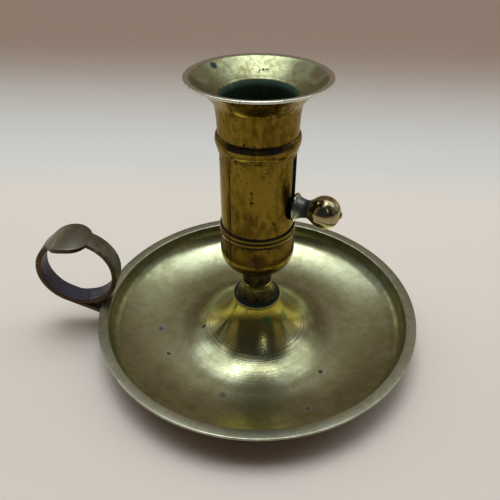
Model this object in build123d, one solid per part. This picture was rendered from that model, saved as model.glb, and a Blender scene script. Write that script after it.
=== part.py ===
"""Chamberstick with a finger loop: dished drip pan, candle socket with side ejector, ring handle.

Frame: millimetres, +Z up, origin on the socket axis at table height, finger loop towards -X.
Each piece is built in place by its own function and exported to its own STEP file.
"""

import os
from math import asin, atan2, copysign, cos, degrees, radians, sin, sqrt

from build123d import *

# Drip pan: pressed brass sheet with a flat lip, a dished floor and a trumpet cone in the middle
PAN_RADIUS = 60.0
PAN_HEIGHT = 13.8
LIP_WIDTH = 3.9
LIP_THICKNESS = 1.3
LIP_EDGE_ROUND = 0.45
SHEET = 1.4
WALL_ROUND = 7.5
WALL_STRAIGHT = 0.4
FOOT_OUTER_RADIUS = 34.5
FOOT_INNER_RADIUS = 31.5
CONE_TOP_RADIUS = 9.0
CONE_ABOVE_LIP = 5.7
CONE_PLATE = 2.0

# Stem: bell foot, neck, bowl and lower bead, turned from one bar
STEM_FOOT_RADIUS = 8.7
STEM_FOOT_EDGE = 0.6
STEM_COVE_RUN = 1.3
STEM_COVE_RISE = 0.9
STEM_FOOT_HEIGHT = 3.4
STEM_RING_RADIUS = 6.0
STEM_RING_BELOW = 0.3
STEM_RING_ABOVE = 0.2
STEM_NECK_RADIUS = 5.2
STEM_NECK_HEIGHT = 10.2
BOWL_RADIUS = 13.0
BOWL_CENTRE_HEIGHT = 21.9
BOWL_DEPTH = 9.4
BOWL_MID_ANGLE = 45.0
BOWL_TOP_HEIGHT = 29.0
BOWL_NECK_FLARE = 0.4
BEAD_ROOT_LIP = 0.1
BEAD_TOP_LIP = 0.35
BEAD_ROOT_HEIGHT = 0.5
BOWL_HOLLOW_DEPTH = 4.5
LOWER_BEAD_RADIUS = 13.0
LOWER_BEAD_HEIGHT = 3.6
LOWER_BEAD_SPLIT = 0.56
LOWER_BEAD_GROOVE = 0.35
TENON_RADIUS = 4.0
TENON_LENGTH = 9.5
TENON_CHAMFER = 0.6
TENON_CLEARANCE = 0.1
STEM_WASHER_RADIUS = 6.6
STEM_WASHER_THICKNESS = 1.0
STEM_NUT_ACROSS_FLATS = 10.0
STEM_NUT_THICKNESS = 4.0
NUT_CORNER_CHAMFER = 0.5
NUT_CORNER_SPARE = 0.05

# Socket barrel: slotted tube
BARREL_RADIUS = 12.33
BARREL_BORE_RADIUS = 11.45
BARREL_LENGTH = 35.8
BARREL_SEAT_DEPTH = 3.3
SLOT_WIDTH = 3.6
SLOT_ABOVE_BEAD = 6.2
SLOT_BELOW_NOZZLE = 1.5
SLOT_OVERCUT = 2.0

# Nozzle: mid bead, neck and saucer-shaped rim
NOZZLE_LAP = 5.0
NOZZLE_SKIRT_RADIUS = 12.8
NOZZLE_SKIRT_HEIGHT = 0.8
MID_BEAD_RADIUS = 13.55
MID_BEAD_HEIGHT = 4.6
MID_BEAD_SWELL = 0.56
NOZZLE_NECK_RADIUS = 12.72
NOZZLE_THROAT_RADIUS = 13.3
NOZZLE_THROAT_HEIGHT = 13.9
NOZZLE_FLARE_RUN = 2.9
NOZZLE_FLARE_RISE = 4.6
NOZZLE_RIM_RADIUS = 22.0
NOZZLE_RIM_HEIGHT = 23.4
NOZZLE_RIM_THICKNESS = 0.9
NOZZLE_RIM_ROUND = 0.3
NOZZLE_LIP_WIDTH = 1.9
NOZZLE_LIP_FALL = 0.25
NOZZLE_SAUCER_DEPTH = 0.6
NOZZLE_BORE_RADIUS = 11.2
NOZZLE_MOUTH_RADIUS = 12.3
NOZZLE_MOUTH_DROP = 6.0
NOZZLE_LEAD_IN = 2.4

# Ejector: sliding cup, stud, nut, collar and knob
KNOB_AZIMUTH = -16.0
KNOB_ABOVE_SLOT = 0.15
RUNNING_CLEARANCE = 0.05
CUP_WALL = 0.9
CUP_PLATE = 1.2
CUP_ABOVE_STUD = 6.5
CUP_BELOW_STUD = 7.0
CUP_SLIT_WIDTH = 1.2
CUP_SLIT_HEIGHT = 9.0
CUP_SLIT_COUNT = 4
CUP_CUT_SPARE = 1.0
CUP_EDGE_CHAMFER = 0.3
STUD_RADIUS = 1.6
STUD_INNER_REACH = 7.0
STUD_OUTER_REACH = 22.5
STUD_END_CHAMFER = 0.3
STUD_NUT_ACROSS_FLATS = 6.0
STUD_NUT_THICKNESS = 2.2
STUD_NUT_SPARE = 0.4
COLLAR_GAP = 0.35
COLLAR_RADIUS = 4.8
COLLAR_EDGE = 0.8
COLLAR_CHAMFER = 0.3
COLLAR_SHOULDER = 0.75
COLLAR_LENGTH = 4.6
WAIST_RADIUS = 2.95
KNOB_BALL_RADIUS = 5.45
KNOB_BALL_REACH = 22.8
KNOB_NECK_ANGLE = 32.0
KNOB_NIPPLE_RADIUS = 1.1
KNOB_NIPPLE_LENGTH = 0.6

# Finger loop: bent strip with a leaf-shaped thumb rest
LOOP_CENTRE_BEYOND_RIM = 7.2
LOOP_CENTRE_ABOVE_LIP = 14.1
LOOP_INNER_RADIUS = 13.2
STRIP_THICKNESS = 2.0
STRIP_WIDTH = 7.5
LEAF_WIDTH = 16.4
LEAF_LENGTH = 15.4
LEAF_OFFSET = -1.0
LEAF_FULLNESS = 0.74
LEAF_TIP_INSET = 0.4
TAIL_SLOPE = 26.2
TAIL_BITE = 0.6
TAIL_FOOT_SWEEP = 55.0
SEAT_OVERCUT = 0.4

# Places that follow from the sizes above: radii from the axis and heights above the table
LIP_INNER = PAN_RADIUS - LIP_WIDTH
LIP_UNDER = PAN_HEIGHT - LIP_THICKNESS
WALL_CENTRE = (LIP_INNER - WALL_ROUND, LIP_UNDER - WALL_STRAIGHT)
CONE_TOP = PAN_HEIGHT + CONE_ABOVE_LIP
BEAD_BOTTOM = CONE_TOP + BOWL_TOP_HEIGHT + BEAD_ROOT_HEIGHT
BEAD_TOP = BEAD_BOTTOM + LOWER_BEAD_HEIGHT
BARREL_BOTTOM = BEAD_TOP - BARREL_SEAT_DEPTH
BARREL_TOP = BARREL_BOTTOM + BARREL_LENGTH
NOZZLE_BOTTOM = BARREL_TOP - NOZZLE_LAP
NOZZLE_RIM = NOZZLE_BOTTOM + NOZZLE_RIM_HEIGHT
NOZZLE_MOUTH = NOZZLE_RIM - NOZZLE_MOUTH_DROP
SLOT_TOP = NOZZLE_BOTTOM - SLOT_BELOW_NOZZLE
SLOT_BOTTOM = BEAD_TOP + SLOT_ABOVE_BEAD
STUD_HEIGHT = SLOT_BOTTOM + STUD_RADIUS + KNOB_ABOVE_SLOT
LOOP_CENTRE = (-PAN_RADIUS - LOOP_CENTRE_BEYOND_RIM, PAN_HEIGHT + LOOP_CENTRE_ABOVE_LIP)
TINY = 0.001


def at(radius, height):
    """Point of a turned profile: radius from the axis and height above the table."""
    return (radius, 0.0, height)


def turned(edges):
    """Solid of revolution about the socket axis from the edges of a closed profile."""
    return revolve(make_face(edges), Axis.Z)


def chain(*points):
    """Straight edges through the given profile points."""
    return [Line(start, end) for start, end in zip(points[:-1], points[1:])]


def dome(radius, base, tip):
    """Arc from a profile point to the axis, centred on the axis so that it turns to a true sphere."""
    rise = tip - base
    ball = (radius**2 + rise**2) / (2 * abs(rise))
    centre = tip - copysign(ball, rise)
    half = asin(radius / ball) / 2
    middle = at(ball * sin(half), centre + copysign(ball * cos(half), rise))
    return ThreePointArc(at(radius, base), middle, at(0, tip))


def tube(outer, inner, bottom, top):
    """Plain tube about the socket axis."""
    ring = Circle(outer) - Circle(inner)
    return Pos(0, 0, bottom) * extrude(ring, top - bottom)


def knob_axis():
    """Location whose Z axis runs outward along the stud, with its origin on the socket axis."""
    return Pos(0, 0, STUD_HEIGHT) * Rot(0, 0, KNOB_AZIMUTH) * Rot(0, 90, 0)


def pan_arcs():
    """Centres and upper-face radii of the pan's three arcs, each tangent to the next stretch of the floor."""
    run = WALL_CENTRE[0] - FOOT_OUTER_RADIUS
    rise = WALL_CENTRE[1] - SHEET
    dish = (run**2 + rise**2 - WALL_ROUND**2) / (2 * (rise - WALL_ROUND))
    cone_run = FOOT_INNER_RADIUS - CONE_TOP_RADIUS
    cone_rise = CONE_TOP - SHEET
    cone = (cone_run**2 + cone_rise**2) / (2 * cone_rise)
    return (
        (WALL_CENTRE, WALL_ROUND),
        ((FOOT_OUTER_RADIUS, SHEET + dish), dish),
        ((FOOT_INNER_RADIUS, SHEET + cone), cone),
    )


def arc_between(centre, radius, start, end):
    """Arc of a profile about a centre, from one angle to another, in degrees from the outward radius."""
    points = []
    for angle in (start, (start + end) / 2, end):
        turn = radians(angle)
        points.append(at(centre[0] + radius * cos(turn), centre[1] + radius * sin(turn)))
    return ThreePointArc(*points)


def pan_side(offset, top):
    """Edges of one face of the pan's sheet, from the top of its cone out to the top of its wall.

    offset is the depth of the face below the upper one, and top is the height where it ends at the cone.
    """
    (wall_centre, wall), (dish_centre, dish), (cone_centre, cone) = pan_arcs()
    blend = degrees(atan2(wall_centre[1] - dish_centre[1], wall_centre[0] - dish_centre[0]))
    cone_end = -180 + degrees(asin((cone_centre[1] - top) / (cone + offset)))
    floor = SHEET - offset
    return [
        arc_between(cone_centre, cone + offset, cone_end, -90),
        Line(at(FOOT_INNER_RADIUS, floor), at(FOOT_OUTER_RADIUS, floor)),
        arc_between(dish_centre, dish + offset, -90, blend),
        arc_between(wall_centre, wall + offset, blend, 0),
    ]


def drip_pan():
    """Dished pan with a flat lip; the sheet keeps one thickness from the wall to the cone."""
    plate_under = CONE_TOP - CONE_PLATE
    hole = TENON_RADIUS + TENON_CLEARANCE
    upper = pan_side(0, CONE_TOP)
    under = pan_side(SHEET, plate_under)
    wall_top = WALL_CENTRE[1]
    lip = chain(
        at(LIP_INNER, wall_top),
        at(LIP_INNER, PAN_HEIGHT),
        at(PAN_RADIUS, PAN_HEIGHT),
        at(PAN_RADIUS, LIP_UNDER),
        at(LIP_INNER + SHEET, LIP_UNDER),
        at(LIP_INNER + SHEET, wall_top),
    )
    plate = chain(upper[0] @ 0, at(hole, CONE_TOP), at(hole, plate_under), under[0] @ 0)
    pan = turned(upper + lip + under + plate)
    rounds = [edge for edge in pan.edges().filter_by(GeomType.CIRCLE) if is_lip_corner(edge)]
    return fillet(rounds, LIP_EDGE_ROUND)


def is_lip_corner(edge):
    """True for the three corners of the lip that a hand can reach."""
    height = edge.center().Z
    on_top = abs(height - PAN_HEIGHT) < TINY and edge.radius > LIP_INNER - TINY
    below = abs(height - LIP_UNDER) < TINY and edge.radius > PAN_RADIUS - TINY
    return on_top or below


def stem():
    """Bell foot, neck, hollow bowl and lower bead, with a plain tenon below for the pan."""
    foot = CONE_TOP
    ring = foot + STEM_FOOT_HEIGHT
    bowl = foot + BOWL_CENTRE_HEIGHT
    hollow_floor = bowl - BOWL_HOLLOW_DEPTH
    tenon_end = foot - TENON_LENGTH
    edges = chain(
        at(0, hollow_floor),
        at(0, tenon_end),
        at(TENON_RADIUS - TENON_CHAMFER, tenon_end),
        at(TENON_RADIUS, tenon_end + TENON_CHAMFER),
        at(TENON_RADIUS, foot),
        at(STEM_FOOT_RADIUS, foot),
        at(STEM_FOOT_RADIUS, foot + STEM_FOOT_EDGE),
    )
    edges.append(
        Spline(
            at(STEM_FOOT_RADIUS, foot + STEM_FOOT_EDGE),
            at(STEM_FOOT_RADIUS - STEM_COVE_RUN, foot + STEM_FOOT_EDGE + STEM_COVE_RISE),
            at(STEM_RING_RADIUS, ring - STEM_RING_BELOW),
            tangents=[(-1, 0, 0.4), (-0.4, 0, 1)],
        )
    )
    edges += chain(at(STEM_RING_RADIUS, ring - STEM_RING_BELOW), at(STEM_RING_RADIUS, ring + STEM_RING_ABOVE))
    edges += neck_and_bowl(ring + STEM_RING_ABOVE, foot + STEM_NECK_HEIGHT, bowl)
    edges += lower_bead()
    edges += chain(
        at(BARREL_RADIUS + BEAD_TOP_LIP, BEAD_TOP),
        at(BARREL_RADIUS, BEAD_TOP),
        at(BARREL_RADIUS, BARREL_BOTTOM),
        at(BARREL_BORE_RADIUS, BARREL_BOTTOM),
        at(BARREL_BORE_RADIUS, bowl),
    )
    edges.append(dome(BARREL_BORE_RADIUS, bowl, hollow_floor))
    return turned(edges)


def neck_and_bowl(start, neck, bowl):
    """Edges of the stem's outside from the ring on its foot, at height start, up to the lower bead."""
    bowl_top = CONE_TOP + BOWL_TOP_HEIGHT
    root = BARREL_RADIUS + BEAD_ROOT_LIP
    neck_radius = STEM_NECK_RADIUS + BOWL_NECK_FLARE
    neck_top = bowl - BOWL_DEPTH * sqrt(1 - (neck_radius / BOWL_RADIUS) ** 2)
    middle = radians(BOWL_MID_ANGLE)
    return [
        Spline(
            at(STEM_RING_RADIUS, start),
            at(STEM_NECK_RADIUS, (start + neck) / 2),
            at(neck_radius, neck_top),
            tangents=[(-1, 0, 0.9), (0.75, 0, 1)],
        ),
        Spline(
            at(neck_radius, neck_top),
            at(BOWL_RADIUS * sin(middle), bowl - BOWL_DEPTH * cos(middle)),
            at(BOWL_RADIUS, bowl),
            at(root, bowl_top),
            tangents=[(1, 0, 0.35), (-0.1, 0, 1)],
        ),
        Line(at(root, bowl_top), at(root, BEAD_BOTTOM)),
    ]


def lower_bead():
    """Edges of the two half-round rings where the stem holds the barrel."""
    split = BEAD_BOTTOM + LOWER_BEAD_SPLIT * LOWER_BEAD_HEIGHT
    groove = at(LOWER_BEAD_RADIUS - LOWER_BEAD_GROOVE, split)
    low = at(LOWER_BEAD_RADIUS, (BEAD_BOTTOM + split) / 2)
    high = at(LOWER_BEAD_RADIUS, (split + BEAD_TOP) / 2)
    return [
        ThreePointArc(at(BARREL_RADIUS + BEAD_ROOT_LIP, BEAD_BOTTOM), low, groove),
        ThreePointArc(groove, high, at(BARREL_RADIUS + BEAD_TOP_LIP, BEAD_TOP)),
    ]


def hex_nut(across_flats, thickness, hole):
    """Hexagon nut standing on its own Z = 0 plane, with its outer corners eased at both ends."""
    outline = RegularPolygon(across_flats / 2, 6, major_radius=False)
    blank = extrude(outline, thickness)
    corner = across_flats / sqrt(3) + NUT_CORNER_SPARE
    flat = across_flats / 2
    drop = NUT_CORNER_CHAMFER
    easing = turned(
        chain(
            at(0, 0),
            at(flat, 0),
            at(corner, drop),
            at(corner, thickness - drop),
            at(flat, thickness),
            at(0, thickness),
            at(0, 0),
        )
    )
    return (blank & easing) - extrude(Circle(hole), thickness)


def stem_washer():
    """Washer against the underside of the cone plate."""
    top = CONE_TOP - CONE_PLATE
    return tube(STEM_WASHER_RADIUS, TENON_RADIUS + TENON_CLEARANCE, top - STEM_WASHER_THICKNESS, top)


def stem_nut():
    """Nut on the stem's tenon, below the washer."""
    bottom = CONE_TOP - CONE_PLATE - STEM_WASHER_THICKNESS - STEM_NUT_THICKNESS
    return Pos(0, 0, bottom) * hex_nut(STEM_NUT_ACROSS_FLATS, STEM_NUT_THICKNESS, TENON_RADIUS)


def slot_cutter():
    """Round-ended slot, reaching from inside the barrel through its wall on the knob side."""
    outline = SlotOverall(SLOT_TOP - SLOT_BOTTOM, SLOT_WIDTH)
    middle = (SLOT_TOP + SLOT_BOTTOM) / 2
    cutter = extrude(outline, BARREL_RADIUS + SLOT_OVERCUT)
    return Pos(0, 0, middle) * Rot(0, 0, KNOB_AZIMUTH) * Rot(0, 90, 0) * cutter


def socket_barrel():
    """Tube between the two beads, with the slot for the stud."""
    return tube(BARREL_RADIUS, BARREL_BORE_RADIUS, BARREL_BOTTOM, BARREL_TOP) - slot_cutter()


def nozzle():
    """Top piece: its beaded skirt laps over the barrel, its bore grips the candle."""
    skirt_top = NOZZLE_BOTTOM + NOZZLE_SKIRT_HEIGHT
    bead_top = skirt_top + MID_BEAD_HEIGHT
    throat = NOZZLE_BOTTOM + NOZZLE_THROAT_HEIGHT
    bore_top = NOZZLE_MOUTH - NOZZLE_LEAD_IN
    rim_under = NOZZLE_RIM - NOZZLE_RIM_THICKNESS
    rim_edge = NOZZLE_RIM_RADIUS - NOZZLE_RIM_ROUND
    lip_inner = NOZZLE_RIM_RADIUS - NOZZLE_LIP_WIDTH
    lip_low = NOZZLE_RIM - NOZZLE_LIP_FALL
    saucer_middle = (lip_low + NOZZLE_MOUTH) / 2 - NOZZLE_SAUCER_DEPTH
    edges = chain(
        at(NOZZLE_BORE_RADIUS, BARREL_TOP),
        at(BARREL_RADIUS, BARREL_TOP),
        at(BARREL_RADIUS, NOZZLE_BOTTOM),
        at(NOZZLE_SKIRT_RADIUS, NOZZLE_BOTTOM),
        at(NOZZLE_SKIRT_RADIUS, skirt_top),
    )
    edges.append(
        Spline(
            at(NOZZLE_SKIRT_RADIUS, skirt_top),
            at(MID_BEAD_RADIUS, skirt_top + MID_BEAD_SWELL * MID_BEAD_HEIGHT),
            at(NOZZLE_NECK_RADIUS, bead_top),
            tangents=[(0.6, 0, 1), (-1, 0, 0.25)],
        )
    )
    edges.append(
        Spline(
            at(NOZZLE_NECK_RADIUS, bead_top),
            at(NOZZLE_THROAT_RADIUS, throat),
            at(NOZZLE_THROAT_RADIUS + NOZZLE_FLARE_RUN, throat + NOZZLE_FLARE_RISE),
            at(rim_edge, rim_under),
            tangents=[(0.02, 0, 1), (1, 0, 0.3)],
        )
    )
    rim_middle = at(NOZZLE_RIM_RADIUS, NOZZLE_RIM - NOZZLE_RIM_THICKNESS / 2)
    edges.append(ThreePointArc(at(rim_edge, rim_under), rim_middle, at(rim_edge, NOZZLE_RIM)))
    edges += chain(at(rim_edge, NOZZLE_RIM), at(lip_inner, lip_low))
    edges.append(
        Spline(
            at(lip_inner, lip_low),
            at((lip_inner + NOZZLE_MOUTH_RADIUS) / 2, saucer_middle),
            at(NOZZLE_MOUTH_RADIUS, NOZZLE_MOUTH),
            tangents=[(-1, 0, -0.85), (-1, 0, -0.45)],
        )
    )
    edges.append(
        Spline(
            at(NOZZLE_MOUTH_RADIUS, NOZZLE_MOUTH),
            at(NOZZLE_BORE_RADIUS, bore_top),
            tangents=[(-0.7, 0, -1), (0, 0, -1)],
        )
    )
    edges += chain(at(NOZZLE_BORE_RADIUS, bore_top), at(NOZZLE_BORE_RADIUS, BARREL_TOP))
    return turned(edges)


def ejector_cup():
    """Inverted cup under the candle; slits in the skirt make spring fingers against the bore."""
    outer = BARREL_BORE_RADIUS - RUNNING_CLEARANCE
    inner = outer - CUP_WALL
    bottom = STUD_HEIGHT - CUP_BELOW_STUD
    top = STUD_HEIGHT + CUP_ABOVE_STUD
    cup = Pos(0, 0, bottom) * extrude(Circle(outer), top - bottom)
    cup -= Pos(0, 0, bottom) * extrude(Circle(inner), top - bottom - CUP_PLATE)
    through = outer + CUP_CUT_SPARE
    slit = Box(through, CUP_SLIT_WIDTH, CUP_SLIT_HEIGHT, align=(Align.MIN, Align.CENTER, Align.MIN))
    for index in range(CUP_SLIT_COUNT):
        angle = KNOB_AZIMUTH + (index + 0.5) * 360 / CUP_SLIT_COUNT
        cup -= Pos(0, 0, bottom) * Rot(0, 0, angle) * slit
    cup -= knob_axis() * extrude(Circle(STUD_RADIUS), through)
    return chamfer(cup.edges().filter_by(GeomType.CIRCLE).group_by(Axis.Z)[-1], CUP_EDGE_CHAMFER)


def ejector_stud():
    """Round stud from inside the cup through the slot into the knob."""
    stud = Pos(0, 0, STUD_INNER_REACH) * extrude(Circle(STUD_RADIUS), STUD_OUTER_REACH - STUD_INNER_REACH)
    return knob_axis() * chamfer(stud.edges().filter_by(GeomType.CIRCLE), STUD_END_CHAMFER)


def stud_nut():
    """Nut inside the cup, its outer face curved to the cup's inner wall."""
    wall = BARREL_BORE_RADIUS - RUNNING_CLEARANCE - CUP_WALL
    thickness = STUD_NUT_THICKNESS + STUD_NUT_SPARE
    blank = Pos(0, 0, wall - STUD_NUT_THICKNESS) * hex_nut(STUD_NUT_ACROSS_FLATS, thickness, STUD_RADIUS)
    room = Pos(0, 0, STUD_HEIGHT - STUD_NUT_ACROSS_FLATS) * extrude(Circle(wall), 2 * STUD_NUT_ACROSS_FLATS)
    return (knob_axis() * blank) & room


def collar_root():
    """Reach of the collar's inner face, just clear of the barrel."""
    return BARREL_RADIUS + COLLAR_GAP


def knob_collar():
    """Flange and tapering waist between the barrel and the knob."""
    root = collar_root()
    waist = root + COLLAR_LENGTH
    edges = chain(
        at(STUD_RADIUS, waist),
        at(STUD_RADIUS, root),
        at(COLLAR_RADIUS - COLLAR_CHAMFER, root),
        at(COLLAR_RADIUS, root + COLLAR_CHAMFER),
        at(COLLAR_RADIUS, root + COLLAR_EDGE),
    )
    edges.append(
        Spline(
            at(COLLAR_RADIUS, root + COLLAR_EDGE),
            at(WAIST_RADIUS + COLLAR_SHOULDER, root + COLLAR_LENGTH / 2),
            at(WAIST_RADIUS, waist),
            tangents=[(-1, 0, 0.45), (-0.12, 0, 1)],
        )
    )
    edges += chain(at(WAIST_RADIUS, waist), at(STUD_RADIUS, waist))
    return knob_axis() * turned(edges)


def push_knob():
    """Pear-shaped knob with a small nipple, bored blind for the stud."""
    waist = collar_root() + COLLAR_LENGTH
    end = KNOB_BALL_REACH + sqrt(KNOB_BALL_RADIUS**2 - KNOB_NIPPLE_RADIUS**2)
    tip = end + KNOB_NIPPLE_LENGTH
    neck_angle = radians(KNOB_NECK_ANGLE)
    neck_reach = KNOB_BALL_REACH - KNOB_BALL_RADIUS * sin(neck_angle)
    neck_radius = KNOB_BALL_RADIUS * cos(neck_angle)
    edges = chain(at(STUD_RADIUS, STUD_OUTER_REACH), at(STUD_RADIUS, waist), at(WAIST_RADIUS, waist))
    edges.append(
        Spline(
            at(WAIST_RADIUS, waist),
            at(neck_radius, neck_reach),
            tangents=[(0.25, 0, 1), (sin(neck_angle), 0, cos(neck_angle))],
        )
    )
    equator = at(KNOB_BALL_RADIUS, KNOB_BALL_REACH)
    edges.append(ThreePointArc(at(neck_radius, neck_reach), equator, at(KNOB_NIPPLE_RADIUS, end)))
    edges.append(dome(KNOB_NIPPLE_RADIUS, end, tip))
    edges += chain(at(0, tip), at(0, STUD_OUTER_REACH), at(STUD_RADIUS, STUD_OUTER_REACH))
    return knob_axis() * turned(edges)


def loop_side():
    """Side view of the loop: ring, tail under the lip, and foot along the outside of the pan's wall."""
    outer = LOOP_INNER_RADIUS + STRIP_THICKNESS
    ring = Pos(LOOP_CENTRE) * (Circle(outer) - Circle(LOOP_INNER_RADIUS))
    slope = radians(TAIL_SLOPE)
    start = Vector(*LOOP_CENTRE) - outer * Vector(sin(slope), cos(slope))
    reach = (TAIL_BITE - LIP_INNER - SHEET - start.X) / cos(slope)
    along = reach * Vector(cos(slope), -sin(slope))
    up = STRIP_THICKNESS * Vector(sin(slope), cos(slope))
    tail = make_face(Polyline(start, start + along, start + along + up, start + up, close=True))
    tail -= Pos(LOOP_CENTRE) * Circle(LOOP_INNER_RADIUS)
    wall = WALL_ROUND + SHEET
    seat = Circle(wall + STRIP_THICKNESS) - Circle(wall - SEAT_OVERCUT)
    end = radians(TAIL_FOOT_SWEEP)
    far = 2 * (wall + STRIP_THICKNESS)
    sector = make_face(Polyline((0, 0), (-far, 0), (-far * cos(end), -far * sin(end)), close=True))
    foot = Pos(-WALL_CENTRE[0], WALL_CENTRE[1]) * (seat & sector)
    upright = Pos(-LIP_INNER - SHEET + SEAT_OVERCUT, WALL_CENTRE[1]) * Rectangle(
        STRIP_THICKNESS + SEAT_OVERCUT, WALL_STRAIGHT, align=(Align.MAX, Align.MIN)
    )
    return ring + tail + foot + upright


def loop_plan():
    """Solid whose top view is the loop's width: a plain strip, and the leaf for the ring's upper part."""
    centre_x, centre_z = LOOP_CENTRE
    outer = LOOP_INNER_RADIUS + STRIP_THICKNESS
    half_strip = STRIP_WIDTH / 2
    half_leaf = LEAF_WIDTH / 2
    strip = Pos(centre_x, 0, 0) * Box(2 * PAN_RADIUS, STRIP_WIDTH, 2 * (centre_z + outer))
    leaf_x = centre_x + LEAF_OFFSET
    half_length = LEAF_LENGTH / 2
    tip = half_strip - LEAF_TIP_INSET
    shoulder = half_strip + LEAF_FULLNESS * (half_leaf - half_strip)
    near_side = Spline(
        (leaf_x - half_length, tip),
        (leaf_x - half_length / 2, shoulder),
        (leaf_x, half_leaf),
        (leaf_x + half_length / 2, shoulder),
        (leaf_x + half_length, tip),
    )
    far_side = mirror(near_side, Plane.XZ)
    ends = [Line(near_side @ 0, far_side @ 0), Line(near_side @ 1, far_side @ 1)]
    leaf = Pos(0, 0, centre_z) * extrude(make_face([near_side, far_side] + ends), outer)
    return strip + leaf


def finger_loop():
    """Strip bent to a ring over the lip, with a tail under the lip that is seated on the pan's wall."""
    band = extrude(Plane.XZ * loop_side(), LEAF_WIDTH / 2, both=True)
    return (band & loop_plan()) - drip_pan()


PARTS = {
    "drip_pan": drip_pan,
    "finger_loop": finger_loop,
    "stem": stem,
    "stem_washer": stem_washer,
    "stem_nut": stem_nut,
    "socket_barrel": socket_barrel,
    "nozzle": nozzle,
    "ejector_cup": ejector_cup,
    "ejector_stud": ejector_stud,
    "stud_nut": stud_nut,
    "knob_collar": knob_collar,
    "push_knob": push_knob,
}


def main():
    """Build every piece and write its STEP file."""
    os.makedirs("parts", exist_ok=True)
    for name, build in PARTS.items():
        export_step(build(), f"parts/{name}.step")


if __name__ == "__main__":
    main()
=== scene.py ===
"""Chamberstick with a finger loop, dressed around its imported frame.

Sizes in the classes are millimetres, measured from the candle axis and the table, unless a name or a
docstring says otherwise. Meshes are written in metres in the frame's own axes: +Z up, the finger loop
towards -X.
"""

from __future__ import annotations

import logging
import math
from dataclasses import dataclass, replace
from enum import Enum
from typing import Sequence

import bpy
from mathutils import Matrix, Vector, noise

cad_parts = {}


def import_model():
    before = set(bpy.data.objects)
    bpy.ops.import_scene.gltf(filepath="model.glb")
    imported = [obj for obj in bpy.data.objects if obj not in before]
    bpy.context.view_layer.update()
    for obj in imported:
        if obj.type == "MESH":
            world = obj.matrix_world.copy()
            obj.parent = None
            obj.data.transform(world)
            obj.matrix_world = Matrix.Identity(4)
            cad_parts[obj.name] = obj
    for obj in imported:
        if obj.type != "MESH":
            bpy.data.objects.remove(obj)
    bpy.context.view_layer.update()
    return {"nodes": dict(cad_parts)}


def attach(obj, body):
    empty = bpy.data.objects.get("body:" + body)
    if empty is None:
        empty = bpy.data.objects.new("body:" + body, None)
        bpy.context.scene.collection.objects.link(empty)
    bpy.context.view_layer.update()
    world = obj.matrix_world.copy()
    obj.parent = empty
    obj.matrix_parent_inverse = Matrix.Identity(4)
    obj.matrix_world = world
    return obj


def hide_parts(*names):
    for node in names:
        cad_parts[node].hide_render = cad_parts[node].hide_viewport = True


LOG = logging.getLogger("chamberstick")
MM = 0.001
SAME_PLACE = 1e-6
CORNER_SHARE = 0.48
SEED_SPREAD = (1.0, 1.7, 2.3)
NOISE_MIDDLE = 0.5
Colour = tuple[float, float, float]
Point = tuple[float, float, float]
Pair = tuple[float, float]
Socket = bpy.types.NodeSocket

# How every finish treats dirt, pits and the lathe's lines
DIRT_SHINE = 0.2
DIRT_ROUGHNESS = 0.75
DIRT_METAL = 0.15
PIT_DEPTH = 0.03
RELIEF_STRENGTH = 0.35
RUBBED_CLEAN = 0.8
SEAM_BITE = 0.85
POLISHED_ROUGHNESS = 0.65
POLISHED_MARKS = 1.5
GROOVE_TOP = 0.5
GROOVE_FLOOR = 0.36
GROOVE_DIRT = 0.45


class Body(Enum):
    """Rigid bodies of the frame that a piece can ride on."""

    BASE = "base"
    EJECTOR = "ejector"


class Slot(Enum):
    """Material slots of the record."""

    PAN = "pan_brass"
    LOOP = "loop_brass"
    SOCKET = "socket_brass"
    KNOB = "knob_brass"
    COLLAR = "collar_brass"


@dataclass(frozen=True)
class Knot:
    """One point of a turned profile.

    Attributes:
        radius: distance from the turning axis.
        height: distance along the turning axis.
        ease: radius by which a sharp corner here is rounded.
        grime_and_shade: how much soiling, or painted shade, lies here, 0 to 1.
        wear: how much the edge is rubbed bright here, 0 to 1.
        polish: how far the lathe's polish, with its turning lines, has lasted here, 0 to 1.
        zone: which of the piece's finishes runs on from here.
    """

    radius: float
    height: float
    ease: float = 0.0
    grime_and_shade: float = 0.0
    wear: float = 0.0
    polish: float = 0.0
    zone: int = 0


def zoned(knots: Sequence[Knot], zone: int) -> list[Knot]:
    """The same stretch of a profile in one zone of finish."""
    return [replace(knot, zone=zone) for knot in knots]


def arc(
    centre: Pair, radius: float, start: float, end: float, steps: int, grime_and_shade: Pair = (0.0, 0.0)
) -> list[Knot]:
    """Knots along a round stretch of a profile.

    Args:
        centre: radius and height of the arc's centre.
        radius: radius of the arc.
        start: first angle in degrees, from the outward radius towards +height.
        end: last angle in degrees.
        steps: number of stretches.
        grime_and_shade: soiling or painted shade at the first and the last knot.

    Returns:
        The knots from start to end.
    """
    knots = []
    for index in range(steps + 1):
        share = index / steps
        angle = math.radians(start + (end - start) * share)
        out, up = centre[0] + radius * math.cos(angle), centre[1] + radius * math.sin(angle)
        knots.append(Knot(out, up, grime_and_shade=grime_and_shade[0] + (grime_and_shade[1] - grime_and_shade[0]) * share))
    return knots


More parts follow.
